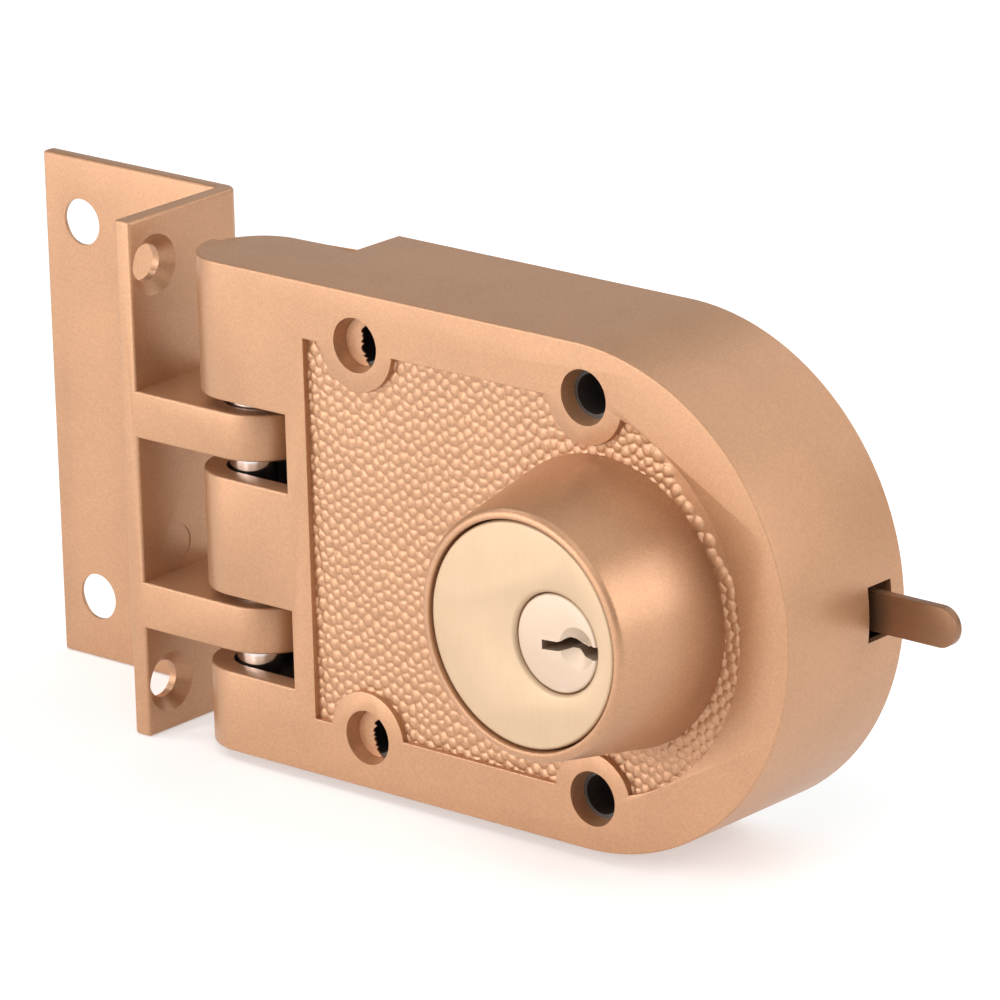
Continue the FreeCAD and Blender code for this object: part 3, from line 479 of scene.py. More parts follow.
def use_group(tree, group, **values):
    """A shared group in a material's tree, with the inputs that differ from the group's own."""
    node = tree.nodes.new("ShaderNodeGroup")
    node.node_tree = group
    for label, given in values.items():
        node.inputs[label].default_value = given
    return node


def bump(tree, shader, height, strength, distance):
    node = tree.nodes.new("ShaderNodeBump")
    node.inputs["Strength"].default_value = strength
    node.inputs["Distance"].default_value = distance
    tree.links.new(height, node.inputs["Height"])
    tree.links.new(node.outputs[0], shader.inputs["Normal"])


def sprayed(name, light, dark, roughness=0.41, metallic=0.55):
    """A sprayed metallic coat: flakes, fine grain and slow shifts of tone."""
    material, tree, shader = new_material(name, metallic, roughness)
    shader.inputs["Specular IOR Level"].default_value = 1.0
    shader.inputs["Coat Weight"].default_value = 0.12
    shader.inputs["Coat Roughness"].default_value = 0.2
    coat = use_group(tree, GRAIN)
    tone = math_node(tree, "MULTIPLY", coat.outputs["Flake"], 0.45)
    blotch = math_node(tree, "MULTIPLY", coat.outputs["Blotch"], 0.55)
    tone = math_node(tree, "ADD", tone, blotch, clamp=True)
    tree.links.new(mix_colours(tree, tone, (*dark, 1), (*light, 1)), shader.inputs["Base Color"])
    rough = math_node(tree, "MULTIPLY", coat.outputs["Fine"], 0.16)
    tree.links.new(math_node(tree, "ADD", rough, roughness - 0.08), shader.inputs["Roughness"])
    bump(tree, shader, coat.outputs["Fine"], 0.35, 0.06 * MM)
    return material


def brushed(name, light, dark, roughness, stretch, metallic=1.0):
    """Bare metal with streaks of machining and faint stains."""
    material, tree, shader = new_material(name, metallic, roughness)
    marks = use_group(tree, BRUSHING, Stretch=stretch)
    tone = math_node(tree, "MULTIPLY", marks.outputs["Streaks"], 0.5)
    stain = math_node(tree, "MULTIPLY", marks.outputs["Stain"], 0.5)
    tone = math_node(tree, "ADD", tone, stain, clamp=True)
    tree.links.new(mix_colours(tree, tone, (*dark, 1), (*light, 1)), shader.inputs["Base Color"])
    rough = math_node(tree, "MULTIPLY", marks.outputs["Streaks"], 0.14)
    tree.links.new(math_node(tree, "ADD", rough, roughness - 0.07), shader.inputs["Roughness"])
    bump(tree, shader, marks.outputs["Streaks"], 0.12, 0.02 * MM)
    return material


copper_paint = sprayed("copper_paint", (0.60, 0.318, 0.165), (0.43, 0.222, 0.112))
# Near-black colour for the inside of the case: the bare casting's darker tone, deepened into painted shade
# where the holes, channels and cavity fall dark.
painted_shade_inside = sprayed("painted_shade_inside", (0.07, 0.055, 0.045), (0.03, 0.022, 0.018),
                      roughness=0.6, metallic=0.4)
face_brass = brushed("face_brass", (0.70, 0.52, 0.36), (0.54, 0.385, 0.24), 0.58, (1.0, 1.0, 0.12),
                     metallic=0.75)
plug_brass = brushed("plug_brass", (0.69, 0.54, 0.42), (0.57, 0.44, 0.33), 0.52, (0.15, 1.0, 1.0),
                     metallic=0.8)
pin_steel = brushed("pin_steel", (0.82, 0.80, 0.79), (0.66, 0.64, 0.63), 0.14, (1.0, 1.0, 0.1))
zinc_steel = brushed("zinc_steel", (0.72, 0.72, 0.70), (0.52, 0.52, 0.50), 0.34, (0.1, 1.0, 1.0))
dark_steel = brushed("dark_steel", (0.32, 0.31, 0.30), (0.18, 0.17, 0.16), 0.38, (1.0, 0.2, 1.0))
brown_steel = brushed("brown_steel", (0.36, 0.18, 0.09), (0.22, 0.11, 0.06), 0.40, (0.12, 1.0, 1.0),
                      metallic=0.6)


def slot_spans():
    return [(z - SLOT_HEIGHT / 2, z + SLOT_HEIGHT / 2) for z in SLOT_CENTRES]


def cast_outside():
    """The body and the full-height knuckle as one, their outline rounded, then slotted."""
    case = half_round("lock_case", "y", (END_X, 0), TOP, LEFT, (FRONT, 0), steps=256)
    knuckle = half_round("knuckle", "z", (PIN_X, PIN_Y), KNUCKLE_RADIUS, LEFT + SIDE_WALL, (-TOP, TOP),
                         steps=128)
    rear = (PIN_Y, KNUCKLE_BACK + OVER)
    reach = (PIN_X - 2 * KNUCKLE_RADIUS, LEFT + SIDE_WALL + OVER)
    carve(knuckle, block("step", reach, rear, (TOP - KNUCKLE_STEP, TOP + OVER)),
          block("step", reach, rear, (-TOP - OVER, -TOP + KNUCKLE_STEP)))
    cleaned(weld(case, knuckle))

    def on_outline(a, b):
        if near(a.y, FRONT) and near(b.y, FRONT):
            return not (near(a.x, PIN_X) and near(b.x, PIN_X))
        level = near(a.z, b.z) and abs(a.z) > TOP - 2 * KNUCKLE_STEP
        straight = near(a.y, b.y) and max(a.y, b.y) > PIN_Y - 1e-6 and max(a.y, b.y) < KNUCKLE_BACK - 1e-5
        return level and max(a.x, b.x) < LEFT + 1e-6 and not straight
    eased(case, EDGE_ROUND, 5, on_outline)
    eased(case, 0.9 * KNUCKLE_STEP, 4, lambda a, b: near(a.y, PIN_Y, 2e-5) and near(b.y, PIN_Y, 2e-5)
          and near(abs(a.z), TOP) and near(abs(b.z), TOP))
    outside = (PIN_X - KNUCKLE_RADIUS - OVER, LEFT)
    tools = [block("slot", outside, (FRONT - OVER, KNUCKLE_BACK + OVER), span) for span in slot_spans()]
    cleaned(carve(case, *tools))
    edges = [z for span in slot_spans() for z in span]

    def on_slot(a, b):
        if a.x > LEFT + 1e-6 or b.x > LEFT + 1e-6:
            return False
        flat = any(near(a.z, z) and near(b.z, z) for z in edges)
        if flat:
            return not (near(a.x, LEFT) and near(b.x, LEFT))
        return near(a.x, LEFT) and near(b.x, LEFT) and near(a.y, b.y) and near(a.y, FRONT)
    return eased(case, SLOT_ROUND, 3, on_slot)


def cast_panel(case):
    """The recessed panel around its four screw rings, with lightly rounded edges."""
    depth = (FRONT - OVER, PANEL_FLOOR)
    panel = half_round("panel", "y", (END_X, 0), PANEL_RADIUS, PANEL_LEFT, depth, steps=192)
    carve(panel, *[rod("ring", "y", SCREW_RING, (depth[0] - OVER, depth[1] + OVER), at, 80) for at in SCREWS])
    cleaned(carve(case, panel))
    inside = PANEL_RADIUS + OVER / 2

    def on_panel(a, b):
        return (near(a.y, FRONT) and near(b.y, FRONT) and min(a.x, b.x) > PANEL_LEFT - OVER / 2
                and max(abs(a.z), abs(b.z)) < inside
                and max((a.x - END_X), (b.x - END_X)) < inside)
    return eased(case, PANEL_ROUND, 2, on_panel)


def cast_collar(case):
    """The tapered collar that carries the cylinder, welded to the panel's floor."""
    at = (CYLINDER_X, 0)
    collar = taper("collar", "y", (COLLAR_RIM, COLLAR_BASE), (RIM_Y, PANEL_FLOOR + 0.5 * MM), at, 192)
    eased(collar, 0.9 * MM, 6, lambda a, b: near(a.y, RIM_Y) and near(b.y, RIM_Y))
    weld(case, collar)
    carve(case, rod("bore", "y", COLLAR_BORE, (RIM_Y - OVER, WALL_INSIDE - OVER), at, 192))

    def on_mouth(a, b):
        far = [math.hypot(p.x - CYLINDER_X, p.z) for p in (a, b)]
        return near(a.y, RIM_Y) and near(b.y, RIM_Y) and all(near(r, COLLAR_BORE, 2e-5) for r in far)
    return eased(case, 0.3 * MM, 3, on_mouth)


def cast_inside_of(case):
    """The cavity, the ledge for the back plate, and the tubes and posts that stand in it."""
    carve(case, half_round("cavity", "y", (END_X, 0), TOP - SIDE_WALL, CAVITY_LEFT, (WALL_INSIDE, OVER)))
    carve(case, half_round("ledge", "y", (END_X, 0), TOP - OVER, LEFT + OVER, (plate_low.y, OVER)))
    root = WALL_INSIDE - 0.5 * MM
    stands = [rod("tube", "y", SCREW_TUBE, (root, PLATE_FACE), at, 64) for at in SCREWS]
    stands += [rod("post", "y", PLATE_POST, (root, PLATE_FACE), at, 40) for at in PLATE_SCREWS]
    weld(case, *stands)
    weld(case, rod("barrel", "y", COLLAR_BORE + BARREL_WALL, (root, FLANGE_FRONT), (CYLINDER_X, 0), 96))
    weld(case, *[rod("clamp_post", "y", CLAMP_POST, (root, CYLINDER_BACK), (CYLINDER_X, z), 40)
                 for z in (-CLAMP_POST_Z, CLAMP_POST_Z)])
    carve(case, rod("barrel_bore", "y", COLLAR_BORE, (WALL_INSIDE - 2 * MM, FLANGE_FRONT + OVER),
                    (CYLINDER_X, 0), 192))
    return case


def cast_holes(case):
    """Screw holes with their countersinks, the pin channels and the slot for the tab."""
    carve(case, *[rod("hole", "y", SCREW_HOLE, (FRONT - OVER, OVER), at, 48) for at in SCREWS])
    widening = (SCREW_SINK - SCREW_HOLE) / 2
    carve(case, *[taper("sink", "y", (SCREW_SINK + widening, SCREW_HOLE + widening),
                        (FRONT - SINK_DEPTH, FRONT + SINK_DEPTH), at, 64) for at in SCREWS])
    thread_end = -8.0 * MM
    carve(case, *[rod("small", "y", PLATE_SCREW_HOLE, (thread_end, OVER), at, 32) for at in PLATE_SCREWS])
    past = 0.02 * MM
    lows = [CHANNEL_LOW, slot_spans()[1][1] - past, slot_spans()[0][1] - past]
    highs = [slot_spans()[1][0] + past, slot_spans()[0][0] + past, CHANNEL_HIGH]
    carve(case, *[half_round("channel", "z", (PIN_X, PIN_Y), CHANNEL_RADIUS, CAVITY_LEFT + OVER, span, 96)
                  for span in zip(lows, highs)])
    half_y, half_z = TAB_SLOT_HALF
    return carve(case, block("tab_slot", (CASE_END - 2 * SIDE_WALL, CASE_END + OVER),
                             (TAB_Y - half_y, TAB_Y + half_y), (-half_z, half_z)))


def in_painted_shade_inside(spot):
    """True inside the screw tubes, the pin channels and the cavity, which get the near-black inside colour:
    the bare casting's darker tone, deepened into painted shade.
    """
    slack = 0.03 * MM
    if any(math.hypot(spot.x - x, spot.z - z) < SCREW_TUBE for x, z in SCREWS):
        return spot.y > FRONT + SINK_DEPTH - slack
    if abs(spot.y - PIN_Y) < CHANNEL_RADIUS + slack and spot.x < CAVITY_LEFT:
        return spot.x > PIN_X - slack or math.hypot(spot.x - PIN_X, spot.y - PIN_Y) < CHANNEL_RADIUS + slack
    far = math.hypot(spot.x - END_X, spot.z) if spot.x > END_X else abs(spot.z)
    return spot.y > WALL_INSIDE - slack and spot.x > CAVITY_LEFT - slack and far < TOP - SIDE_WALL + slack


def make_case():
    """The case, with its inside in a second slot: the bare casting, painted near black as painted shade."""
    case = cast_outside()
    cast_panel(case)
    cast_collar(case)
    cast_inside_of(case)
    cast_holes(case)
    cleaned(case)
    finished(case, copper_paint, "case", "case", slot="copper_paint", angle=24)
    # The faces inside take the near-black second material: painted shade for the unlit holes, channels and
    # cavity, over the bare casting's own darker tone.
    case.data.materials.append(painted_shade_inside)
    for face in case.data.polygons:
        if all(in_painted_shade_inside(case.data.vertices[v].co) for v in face.vertices):
            face.material_index = 1
    return case


def make_flash():
    """Ragged casting flash left across the two screw holes beside the knuckles."""
    random.seed(7)
    for name, (x, z) in zip(("lower_flash", "upper_flash"), SCREWS):
        reach = SCREW_HOLE + 0.5 * MM
        outline = []
        for angle in range(75, 286, 15):
            turn = math.radians(angle)
            outline.append((x + reach * math.cos(turn), z + reach * math.sin(turn)))
        for step in range(-9, 10):
            ragged = random.uniform(-0.35, 0.35) * MM
            curl = 0.55 * MM * (abs(step) / 9) ** 2
            outline.append((x - 0.35 * MM + curl + ragged, z + step / 10 * SCREW_HOLE))
        flash = prism(name, outline, (FRONT + SINK_DEPTH - 0.15 * MM, FRONT + SINK_DEPTH + 0.1 * MM))
        finished(flash, copper_paint, "case", slot="copper_paint", angle=20)


def pebble_heights(x, z, seeds, pitch):
    """Height of packed round pebbles: a dome over each seed, with a soft groove between neighbours."""
    height = np.empty(len(x))
    for start in range(0, len(x), 4000):
        part = slice(start, start + 4000)
        away = np.hypot(x[part, None] - seeds[None, :, 0], z[part, None] - seeds[None, :, 1])
        first, second = np.partition(away, 1, axis=1)[:, :2].T / pitch
        dome = np.clip(1 - (first / 0.7) ** 2, 0, 1) ** 0.6
        groove = np.clip((second - first) / 0.34, 0, 1)
        height[part] = dome * (0.5 + 0.5 * groove ** 2 * (3 - 2 * groove))
    return height


def pebble_seeds(pitch):
    """The middles of the pebbles: a turned lattice of staggered rows, each place strayed a little."""
    random.seed(11)
    row_step, stray = 0.87, 0.24
    span = 2.9 * PANEL_RADIUS
    rows, columns = int(span / (pitch * row_step)), int(span / pitch)
    seeds = []
    for row in range(rows):
        for column in range(columns):
            x = (column - columns / 2 + 0.5 * (row % 2) + random.uniform(-stray, stray)) * pitch
            z = ((row - rows / 2) * row_step + random.uniform(-stray, stray)) * pitch
            seeds.append((x * math.cos(PEBBLE_TURN) - z * math.sin(PEBBLE_TURN),
                          x * math.sin(PEBBLE_TURN) + z * math.cos(PEBBLE_TURN)))
    return np.array(seeds)


def make_pebbles():
    """The pebbled floor of the panel: a fine grid raised into packed pebbles."""
    pitch, grid, rise = 1.46 * MM, 0.155 * MM, 0.28 * MM
    seeds = pebble_seeds(pitch)
    x_low, x_high = PANEL_LEFT - grid, END_X + PANEL_RADIUS + grid
    across, high = int((x_high - x_low) / grid), int(2 * (PANEL_RADIUS + grid) / grid)
    bpy.ops.mesh.primitive_grid_add(
        x_subdivisions=across, y_subdivisions=high, size=1,
        location=((x_low + x_high) / 2, PANEL_FLOOR, 0), rotation=(math.pi / 2, 0, 0))
    bpy.context.object.scale = (x_high - x_low, 2 * (PANEL_RADIUS + grid), 1)
    pebbles = added("panel_pebbles")
    places = np.empty(len(pebbles.data.vertices) * 3)
    pebbles.data.vertices.foreach_get("co", places)
    places = places.reshape(-1, 3)
    raised = pebble_heights(places[:, 0], places[:, 2], seeds, pitch)
    places[:, 1] = PANEL_FLOOR - 0.2 * MM - raised * rise
    pebbles.data.vertices.foreach_set("co", places.ravel())
    pebbles.data.update()
    bpy.ops.object.mode_set(mode="EDIT")
    margin = 1.5 * grid
    under_collar = COLLAR_BASE - 0.6 * MM

    def outside(v):
        x, z = v.co.x, v.co.z
        far = math.hypot(x - END_X, z) if x > END_X else abs(z)
        if far > PANEL_RADIUS + margin or x < PANEL_LEFT - margin:
            return True
        if math.hypot(x - CYLINDER_X, z) < under_collar:
            return True
        return any(math.hypot(x - a, z - b) < SCREW_RING - margin for a, b in SCREWS)
    pick(pebbles, "VERT", outside)
    bpy.ops.mesh.delete(type="VERT")
    pick(pebbles, "EDGE", lambda e: e.is_boundary)
    bpy.ops.mesh.extrude_edges_move(TRANSFORM_OT_translate={"value": (0, 0.6 * MM, 0)})
    base = PANEL_FLOOR + 0.5 * MM
    mesh = bmesh.from_edit_mesh(pebbles.data)
    for vertex in mesh.verts:
        if vertex.select:
            vertex.co.y = base
    bmesh.update_edit_mesh(pebbles.data)
    bpy.ops.mesh.fill(use_beauty=False)
    bpy.ops.mesh.select_all(action="SELECT")
    bpy.ops.mesh.normals_make_consistent(inside=False)
    bpy.ops.object.mode_set(mode="OBJECT")
    return finished(pebbles, copper_paint, "case", slot="copper_paint", angle=60)


def make_strike():
    """The plate and flange as one angle, with the ringed ears, the screw holes and the faint round mark."""
    low, high = strike_low, strike_high
    strike = block("angle_strike", (FLANGE_LEFT, FLANGE_RIGHT), (low.y, high.y), (low.z, high.z))
    plate = block("wide_plate", (low.x, FLANGE_LEFT + OVER), (PLATE_FRONT, high.y), (low.z, high.z))
    cleaned(weld(strike, plate))

    def on_bend(a, b):
        return all(near(p.x, FLANGE_RIGHT) and near(p.y, high.y) for p in (a, b))
    eased(strike, 2.0 * MM, 6, on_bend)

    def not_inner(a, b):
        return not all(near(p.x, FLANGE_LEFT) and near(p.y, PLATE_FRONT) for p in (a, b))
    eased(strike, STRIKE_ROUND, 4, not_inner, clamp=False)
    for span in EARS:
        ear = half_round("ear", "z", (PIN_X, PIN_Y), EAR_RADIUS, FLANGE_RIGHT - 0.5 * MM, span, steps=128)
        eased(ear, 0.3 * MM, 3, lambda a, b: near(a.z, b.z) and max(a.x, b.x) > FLANGE_RIGHT)
        weld(strike, ear)
    cleaned(strike)
    carve(strike, *[rod("bore", "z", EAR_BORE, (a - OVER, b + OVER), (PIN_X, PIN_Y), 96) for a, b in EARS])
    plate_holes = [(low.x + 6.7 * MM, z) for z in (high.z - 8.8 * MM, low.z + 8.8 * MM)]
    lip, past = PLATE_FRONT + 0.45 * MM, high.y + OVER
    carve(strike, *[rod("hole", "y", PLATE_HOLE, (PLATE_FRONT - OVER, past), at, 64) for at in plate_holes])
    carve(strike, *[taper("relief", "y", (PLATE_HOLE, PLATE_HOLE + past - lip), (lip, past), at, 64)
                    for at in plate_holes])
    flange_y = low.y + 4.45 * MM
    flange_holes = [(flange_y, z) for z in (high.z - 6.6 * MM, low.z + 6.6 * MM)]
    carve(strike, *[rod("hole", "x", FLANGE_HOLE, (FLANGE_LEFT - OVER, FLANGE_RIGHT + OVER), at, 64)
                    for at in flange_holes])
    sink, inset = 1.55 * MM, 0.05 * MM
    carve(strike, *[taper("sink", "x", (FLANGE_HOLE - inset, FLANGE_HOLE + 2 * sink),
                          (FLANGE_RIGHT - sink - inset, FLANGE_RIGHT + sink), at, 64) for at in flange_holes])
    carve(strike, rod("mark", "x", FLANGE_HOLE, (FLANGE_RIGHT - 0.1 * MM, FLANGE_RIGHT + OVER),
                      (flange_y + 2.2 * MM, -9.4 * MM), 48))
    cleaned(strike)
    return finished(strike, copper_paint, "strike", "strike", slot="copper_paint", angle=30)


def make_cylinder():
    """The brass cylinder with its flange, the plug's hole, the chambers and their cover's groove."""
    at, plug_at = (CYLINDER_X, 0), (PLUG_X, 0)
    shell = rod("key_cylinder", "y", CYLINDER_RADIUS, (FACE_Y, CYLINDER_BACK), at, 192)
    eased(shell, 0.45 * MM, 4, lambda a, b: near(a.y, FACE_Y) and near(b.y, FACE_Y))
    weld(shell, rod("flange", "y", body_high.z, (FLANGE_FRONT + 0.02 * MM, CYLINDER_BACK), at, 96))
    carve(shell, rod("plug_hole", "y", PLUG_BORE, (FACE_Y - OVER, CYLINDER_BACK + OVER), plug_at, 128))
    eased(shell, 0.65 * MM, 3, lambda a, b: near(a.y, FACE_Y) and near(b.y, FACE_Y)
          and math.hypot(a.x - PLUG_X, a.z) < PLUG_BORE + 0.05 * MM)
    room, depth = CLIP_ROOM
    carve(shell, rod("clip_room", "y", room, (CYLINDER_BACK - depth, CYLINDER_BACK + OVER), plug_at, 96))
    left = CYLINDER_X - CYLINDER_RADIUS
    half_y, half_z = COVER_HALF
    carve(shell, block("cover_groove", (left - OVER, left + COVER_DEPTH),
                       (TUMBLER_YS[0] - half_y, TUMBLER_YS[-1] + half_y), (-half_z, half_z)))
    carve(shell, *[rod("chamber", "x", TUMBLER_BORE, (left, PLUG_X), (y, 0), 32) for y in TUMBLER_YS])
    cleaned(shell)
    return finished(shell, face_brass, "case", "cylinder_body", slot="satin_brass")


def make_plug():
    """The brass plug: face, dimple, keyway and chambers, the blade's seat and the clip's groove."""
    at = (PLUG_X, 0)
    face = plug_low.y + PLUG_SET_BACK
    plug = rod("key_plug", "y", PLUG_RADIUS, (face, plug_high.y), at, 128)
    eased(plug, 0.4 * MM, 4, lambda a, b: near(a.y, face) and near(b.y, face))
    dimple_x, dimple_depth = PLUG_X + 3.15 * MM, 1.3 * MM
    carve(plug, taper("dimple", "y", (4.4 * MM, 0.5 * MM), (face - OVER, face + dimple_depth),
                      (dimple_x, 0), 64))
    # The keyway's two sides as (x, z) in millimetres, from its open end to its round end and back.
    upper = [(-2.2, 0.07), (0.2, 0.22), (0.8, 0.45), (1.4, 0.92), (2.0, 1.1), (2.6, 0.9), (3.1, 0.45),
             (3.7, 0.25), (4.6, 0.3), (5.3, 0.7), (7.4, 0.8)]
    lower = [(7.4, -0.85), (4.6, -1.1), (3.9, -1.08), (3.4, -0.82), (2.8, -0.38), (2.1, -0.28),
             (1.5, -0.55), (0.8, -0.78), (0.2, -0.95), (-2.2, -1.15)]
    keyway = [(PLUG_X + (x - 0.2) * MM, z * MM) for x, z in upper + lower]
    carve(plug, prism("keyway", keyway, (face - OVER, face + KEYWAY_DEPTH)))
    chamber = (PLUG_X - PLUG_RADIUS - OVER, PLUG_X + 0.2 * MM)
    carve(plug, *[rod("chamber", "x", TUMBLER_BORE, chamber, (y, 0), 32) for y in TUMBLER_YS])
    half_x, half_z = BLADE_HALF
    carve(plug, block("blade_seat", (PLUG_X - half_x, PLUG_X + half_x),
                      (plug_high.y - BLADE_SEAT, plug_high.y + OVER), (-half_z, half_z)))
    clip_low, clip_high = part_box("plug_retainer")
    groove = rod("groove", "y", PLUG_RADIUS + OVER, (clip_low.y - 0.1 * MM, clip_high.y + 0.1 * MM), at, 96)
    carve(groove, rod("core", "y", CLIP_CORE, (clip_low.y - OVER, clip_high.y + OVER), at, 96))
    carve(plug, groove)
    cleaned(plug)
    return finished(plug, plug_brass, "plug", "cylinder_plug", slot="satin_brass", angle=18)


def make_bolt_pins():
    """The two round bolt pins, each with the spigot that holds it in the carrier."""
    at = (PIN_X, PIN_Y)
    for name, low, high in (("upper", upper_pin_low, upper_pin_high),
                            ("lower", lower_pin_low, lower_pin_high)):
        shoulder = high.z - SPIGOT_LENGTH
        pin = rod(name + "_pin", "z", BOLT_RADIUS, (low.z, shoulder), at, 128)
        eased(pin, 0.4 * MM, 4, lambda a, b: near(a.z, b.z))
        weld(pin, rod("spigot", "z", SPIGOT_RADIUS, (shoulder - 0.5 * MM, high.z), at, 48))
        finished(pin, pin_steel, "bolt", name + "_bolt_pin", slot="bright_steel")


def make_guard():
    """The sprung plate and its tab, pressed from one strip, the tab's tip rounded."""
    low, high = guard_low, guard_high
    inner = GUARD_RISER - LUG_THICK
    span = (GUARD_FRONT - OVER, high.y + OVER)
    guard = block("shutter_plate", (low.x, GUARD_RISER), (GUARD_FRONT, high.y), (low.z, high.z))
    boolean(guard, "INTERSECT", rod("room", "y", TOP - SIDE_WALL - 0.6 * MM, span, (END_X, 0), 192))
    tab_y = (TAB_Y - LUG_THICK / 2, TAB_Y + LUG_THICK / 2)
    tab = half_round("tab", "y", (high.x - TAB_HALF, 0), TAB_HALF, inner, tab_y, 64)
    weld(guard, block("riser", (inner, GUARD_RISER), (tab_y[0], high.y), (-TAB_HALF, TAB_HALF)))
    weld(guard, tab)
    weld(guard, block("lug", (low.x, low.x + LUG_THICK), (low.y, high.y), (-LUG_HALF, LUG_HALF)))
    carve(guard, rod("window", "y", WINDOW_RADIUS, span, (PLUG_X + SHUTTER_TRAVEL, 0), 96))
    slot_x = (RIVET_X, RIVET_X + SHUTTER_TRAVEL)
    for z in RIVET_ZS:
        carve(guard, block("slot", slot_x, span, (z - RIVET_SLOT_HALF, z + RIVET_SLOT_HALF)))
        carve(guard, *[rod("slot_end", "y", RIVET_SLOT_HALF, span, (x, z), 48) for x in slot_x])
    cleaned(guard)
    eased_all(guard, 0.14 * MM, 2, least=60)
    return finished(guard, brown_steel, "shutter", "shutter_guard", slot="brown_steel")


def make_back_plate():
    """The steel cover of the back, with the lug that seats the shutter's spring."""
    low, high = plate_low, plate_high
    plate = half_round("cover_plate", "y", (END_X, 0), high.z, low.x, (PLATE_FACE, high.y), steps=192)
    eased(plate, 0.25 * MM, 2, lambda a, b: near(a.y, b.y))
    span = (PLATE_FACE - OVER, high.y + OVER)
    carve(plate, *[rod("hole", "y", SCREW_HOLE, span, at, 64) for at in SCREWS],
          rod("window", "y", WINDOW_RADIUS, span, (PLUG_X, 0), 96))
    sink = 1.2 * MM
    carve(plate, *[taper("sink", "y", (PLATE_SCREW_HOLE, PLATE_SCREW_HOLE + sink + OVER),
                         (high.y - sink, high.y + OVER), at, 48) for at in PLATE_SCREWS])
    carve(plate, *[rod("hole", "y", PLATE_SCREW_HOLE, span, at, 32) for at in PLATE_SCREWS])
    carve(plate, *[rod("hole", "y", RIVET_HOLE, span, (RIVET_X, z), 32) for z in RIVET_ZS])
    lug_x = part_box("shutter_spring")[0].x - 0.05 * MM
    lug_z = (-LUG_HALF, LUG_HALF)
    carve(plate, block("lug_window", (lug_x - LUG_WINDOW, lug_x - LUG_THICK), span, lug_z))
    weld(plate, block("lug", (lug_x - LUG_THICK, lug_x), (low.y, PLATE_FACE + 0.2 * MM), lug_z))
    return finished(plate, zinc_steel, "case", "back_plate", slot="zinc_steel")


def make_coil(name, node, turns, wire):
    """A compression spring with closed ends, wound from the end at low x."""
    low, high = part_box(node)
    radius = (high.z - low.z - wire) / 2
    middle = (low.y + high.y) / 2
    active = high.x - low.x - 3 * wire
    curve = bpy.data.curves.new(name, "CURVE")
    curve.dimensions = "3D"
    curve.bevel_depth = wire / 2
    curve.bevel_resolution = 2
    curve.use_fill_caps = True
    line = curve.splines.new("POLY")
    line.points.add(COIL_STEPS * (turns + 2))
    for i, point in enumerate(line.points):
        turn = i / COIL_STEPS
        rise = min(turn, 1) * wire + max(0, min(turn - 1, turns)) / turns * active
        rise += max(0, turn - 1 - turns) * wire
        angle = 2 * math.pi * turn
        point.co = (low.x + wire / 2 + rise, middle + radius * math.cos(angle), radius * math.sin(angle), 1)
    piece = bpy.data.objects.new(name, curve)
    bpy.context.scene.collection.objects.link(piece)
    only(piece)
    bpy.ops.object.convert(target="MESH")
    piece = cleaned(bpy.context.object)
    finished(piece, dark_steel, "case", node, slot="spring_steel", angle=60)
    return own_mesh(piece)


def make_springs():
    """The coils behind the driver pins and behind the shutter guard."""
    for i in range(1, 6):
        make_coil(f"driver_coil_{i}", f"tumbler_spring_{i}", 6, DRIVER_WIRE)
    make_coil("shutter_coil", "shutter_spring", 13, SHUTTER_WIRE)


def dress_packed_nodes():
    """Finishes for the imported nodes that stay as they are."""
    finishes = {"back_plate_screws": zinc_steel, "clamp_screws": zinc_steel, "cylinder_clamp": zinc_steel,
                "tailpiece": zinc_steel, "cam_hub": zinc_steel, "cam_pin": pin_steel,
                "bolt_carrier": zinc_steel, "shutter_rivets": zinc_steel, "chamber_cover": face_brass,
                "plug_retainer": dark_steel}
    for i in range(1, 6):
        finishes[f"key_pin_{i}"] = face_brass
        finishes[f"driver_pin_{i}"] = face_brass
    for name, material in finishes.items():
        nodes[name].data.materials.clear()
        nodes[name].data.materials.append(material)


def seen_directly(tree):
    """1 for rays from the camera and through mirrors and glass, 0 for rays that only light the object."""
    rays = tree.nodes.new("ShaderNodeLightPath")
    seen = math_node(tree, "MAXIMUM", rays.outputs["Is Camera Ray"], rays.outputs["Is Glossy Ray"])
    return math_node(tree, "MAXIMUM", seen, rays.outputs["Is Transmission Ray"])


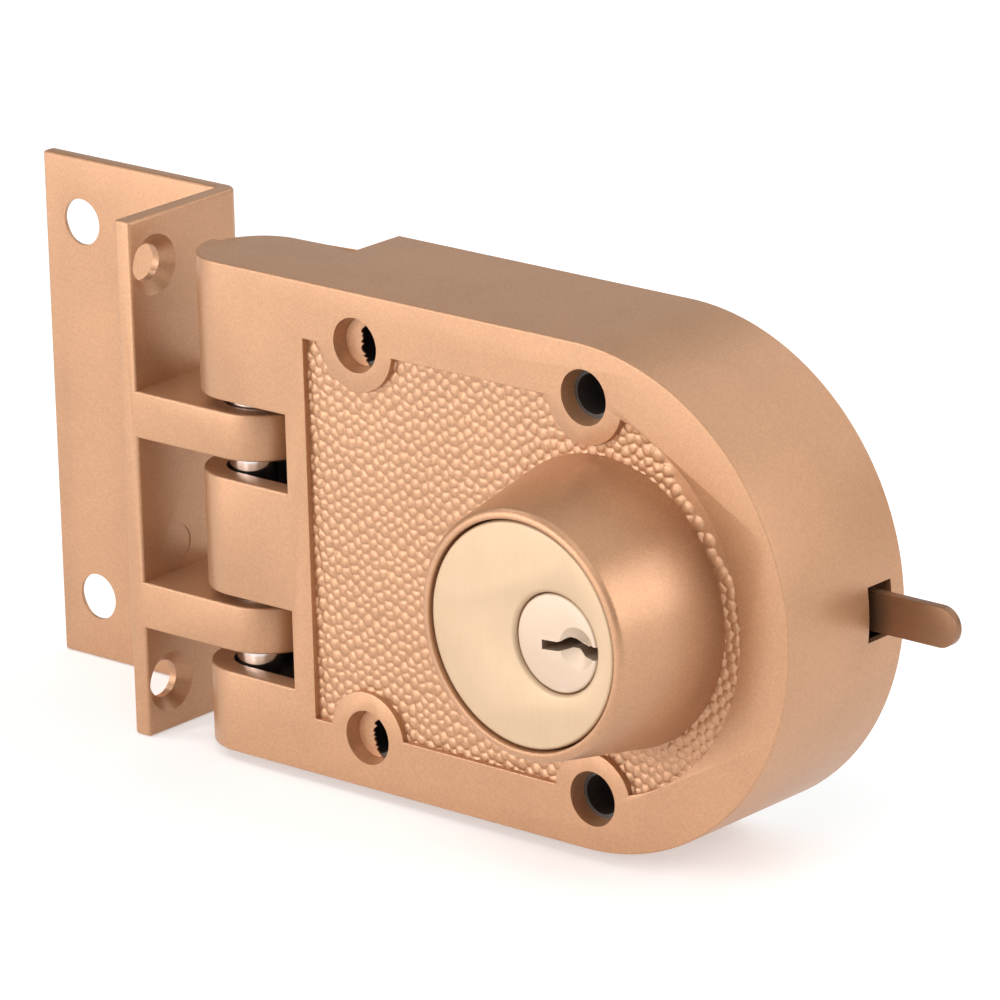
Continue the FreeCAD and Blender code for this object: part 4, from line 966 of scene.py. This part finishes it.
def make_stage():
    """The pale floor, white where the camera or a reflection sees it."""
    bpy.ops.mesh.primitive_plane_add(size=12, location=(0, 0, strike_low.z - 0.1 * MM))
    floor = added("floor")
    material, tree, shader = new_material("pale_floor", 0.0, 0.6)
    shader.inputs["Base Color"].default_value = FLOOR_COLOUR
    shader.inputs["Emission Color"].default_value = (1, 1, 1, 1)
    glow = math_node(tree, "MULTIPLY", seen_directly(tree), FLOOR_GLOW)
    tree.links.new(glow, shader.inputs["Emission Strength"])
    floor.data.materials.append(material)


def make_world():
    """The even light of the room."""
    world = bpy.data.worlds.new("studio")
    bpy.context.scene.world = world
    world.use_nodes = True
    tree = world.node_tree
    background = tree.nodes["Background"]
    background.inputs["Color"].default_value = (1, 1, 1, 1)
    background.inputs["Strength"].default_value = ROOM_LIGHT


def lamp(name, azimuth, elevation, distance, size, power):
    """A soft square lamp that looks at the object from a direction."""
    a, e = math.radians(azimuth), math.radians(elevation)
    towards = Vector((math.sin(a) * math.cos(e), -math.cos(a) * math.cos(e), math.sin(e)))
    data = bpy.data.lights.new(name, "AREA")
    data.shape = "SQUARE"
    data.size = size
    data.energy = power
    light = bpy.data.objects.new(name, data)
    bpy.context.scene.collection.objects.link(light)
    light.location = towards * distance
    light.rotation_euler = towards.to_track_quat("Z", "Y").to_euler()


def make_camera():
    """The camera as it was fitted to the photograph."""
    data = bpy.data.cameras.new("photo_camera")
    data.lens = CAMERA_LENS
    data.sensor_width = 36
    data.clip_start = 0.01
    data.clip_end = 50
    camera = bpy.data.objects.new("photo_camera", data)
    bpy.context.scene.collection.objects.link(camera)
    turned = (Matrix.Rotation(math.radians(CAMERA_AZIMUTH), 4, "Z")
              @ Matrix.Rotation(math.radians(90 - CAMERA_ELEVATION), 4, "X")
              @ Matrix.Rotation(math.radians(CAMERA_ROLL), 4, "Z"))
    camera.matrix_world = Matrix.Translation(CAMERA_AT) @ turned
    bpy.context.scene.camera = camera


make_case()
make_flash()
make_pebbles()
make_strike()
make_cylinder()
make_plug()
make_bolt_pins()
make_guard()
make_back_plate()
make_springs()
dress_packed_nodes()
make_stage()
make_world()
for softbox in SOFTBOXES:
    lamp(*softbox)
make_camera()
bpy.context.scene.view_settings.view_transform = "Standard"
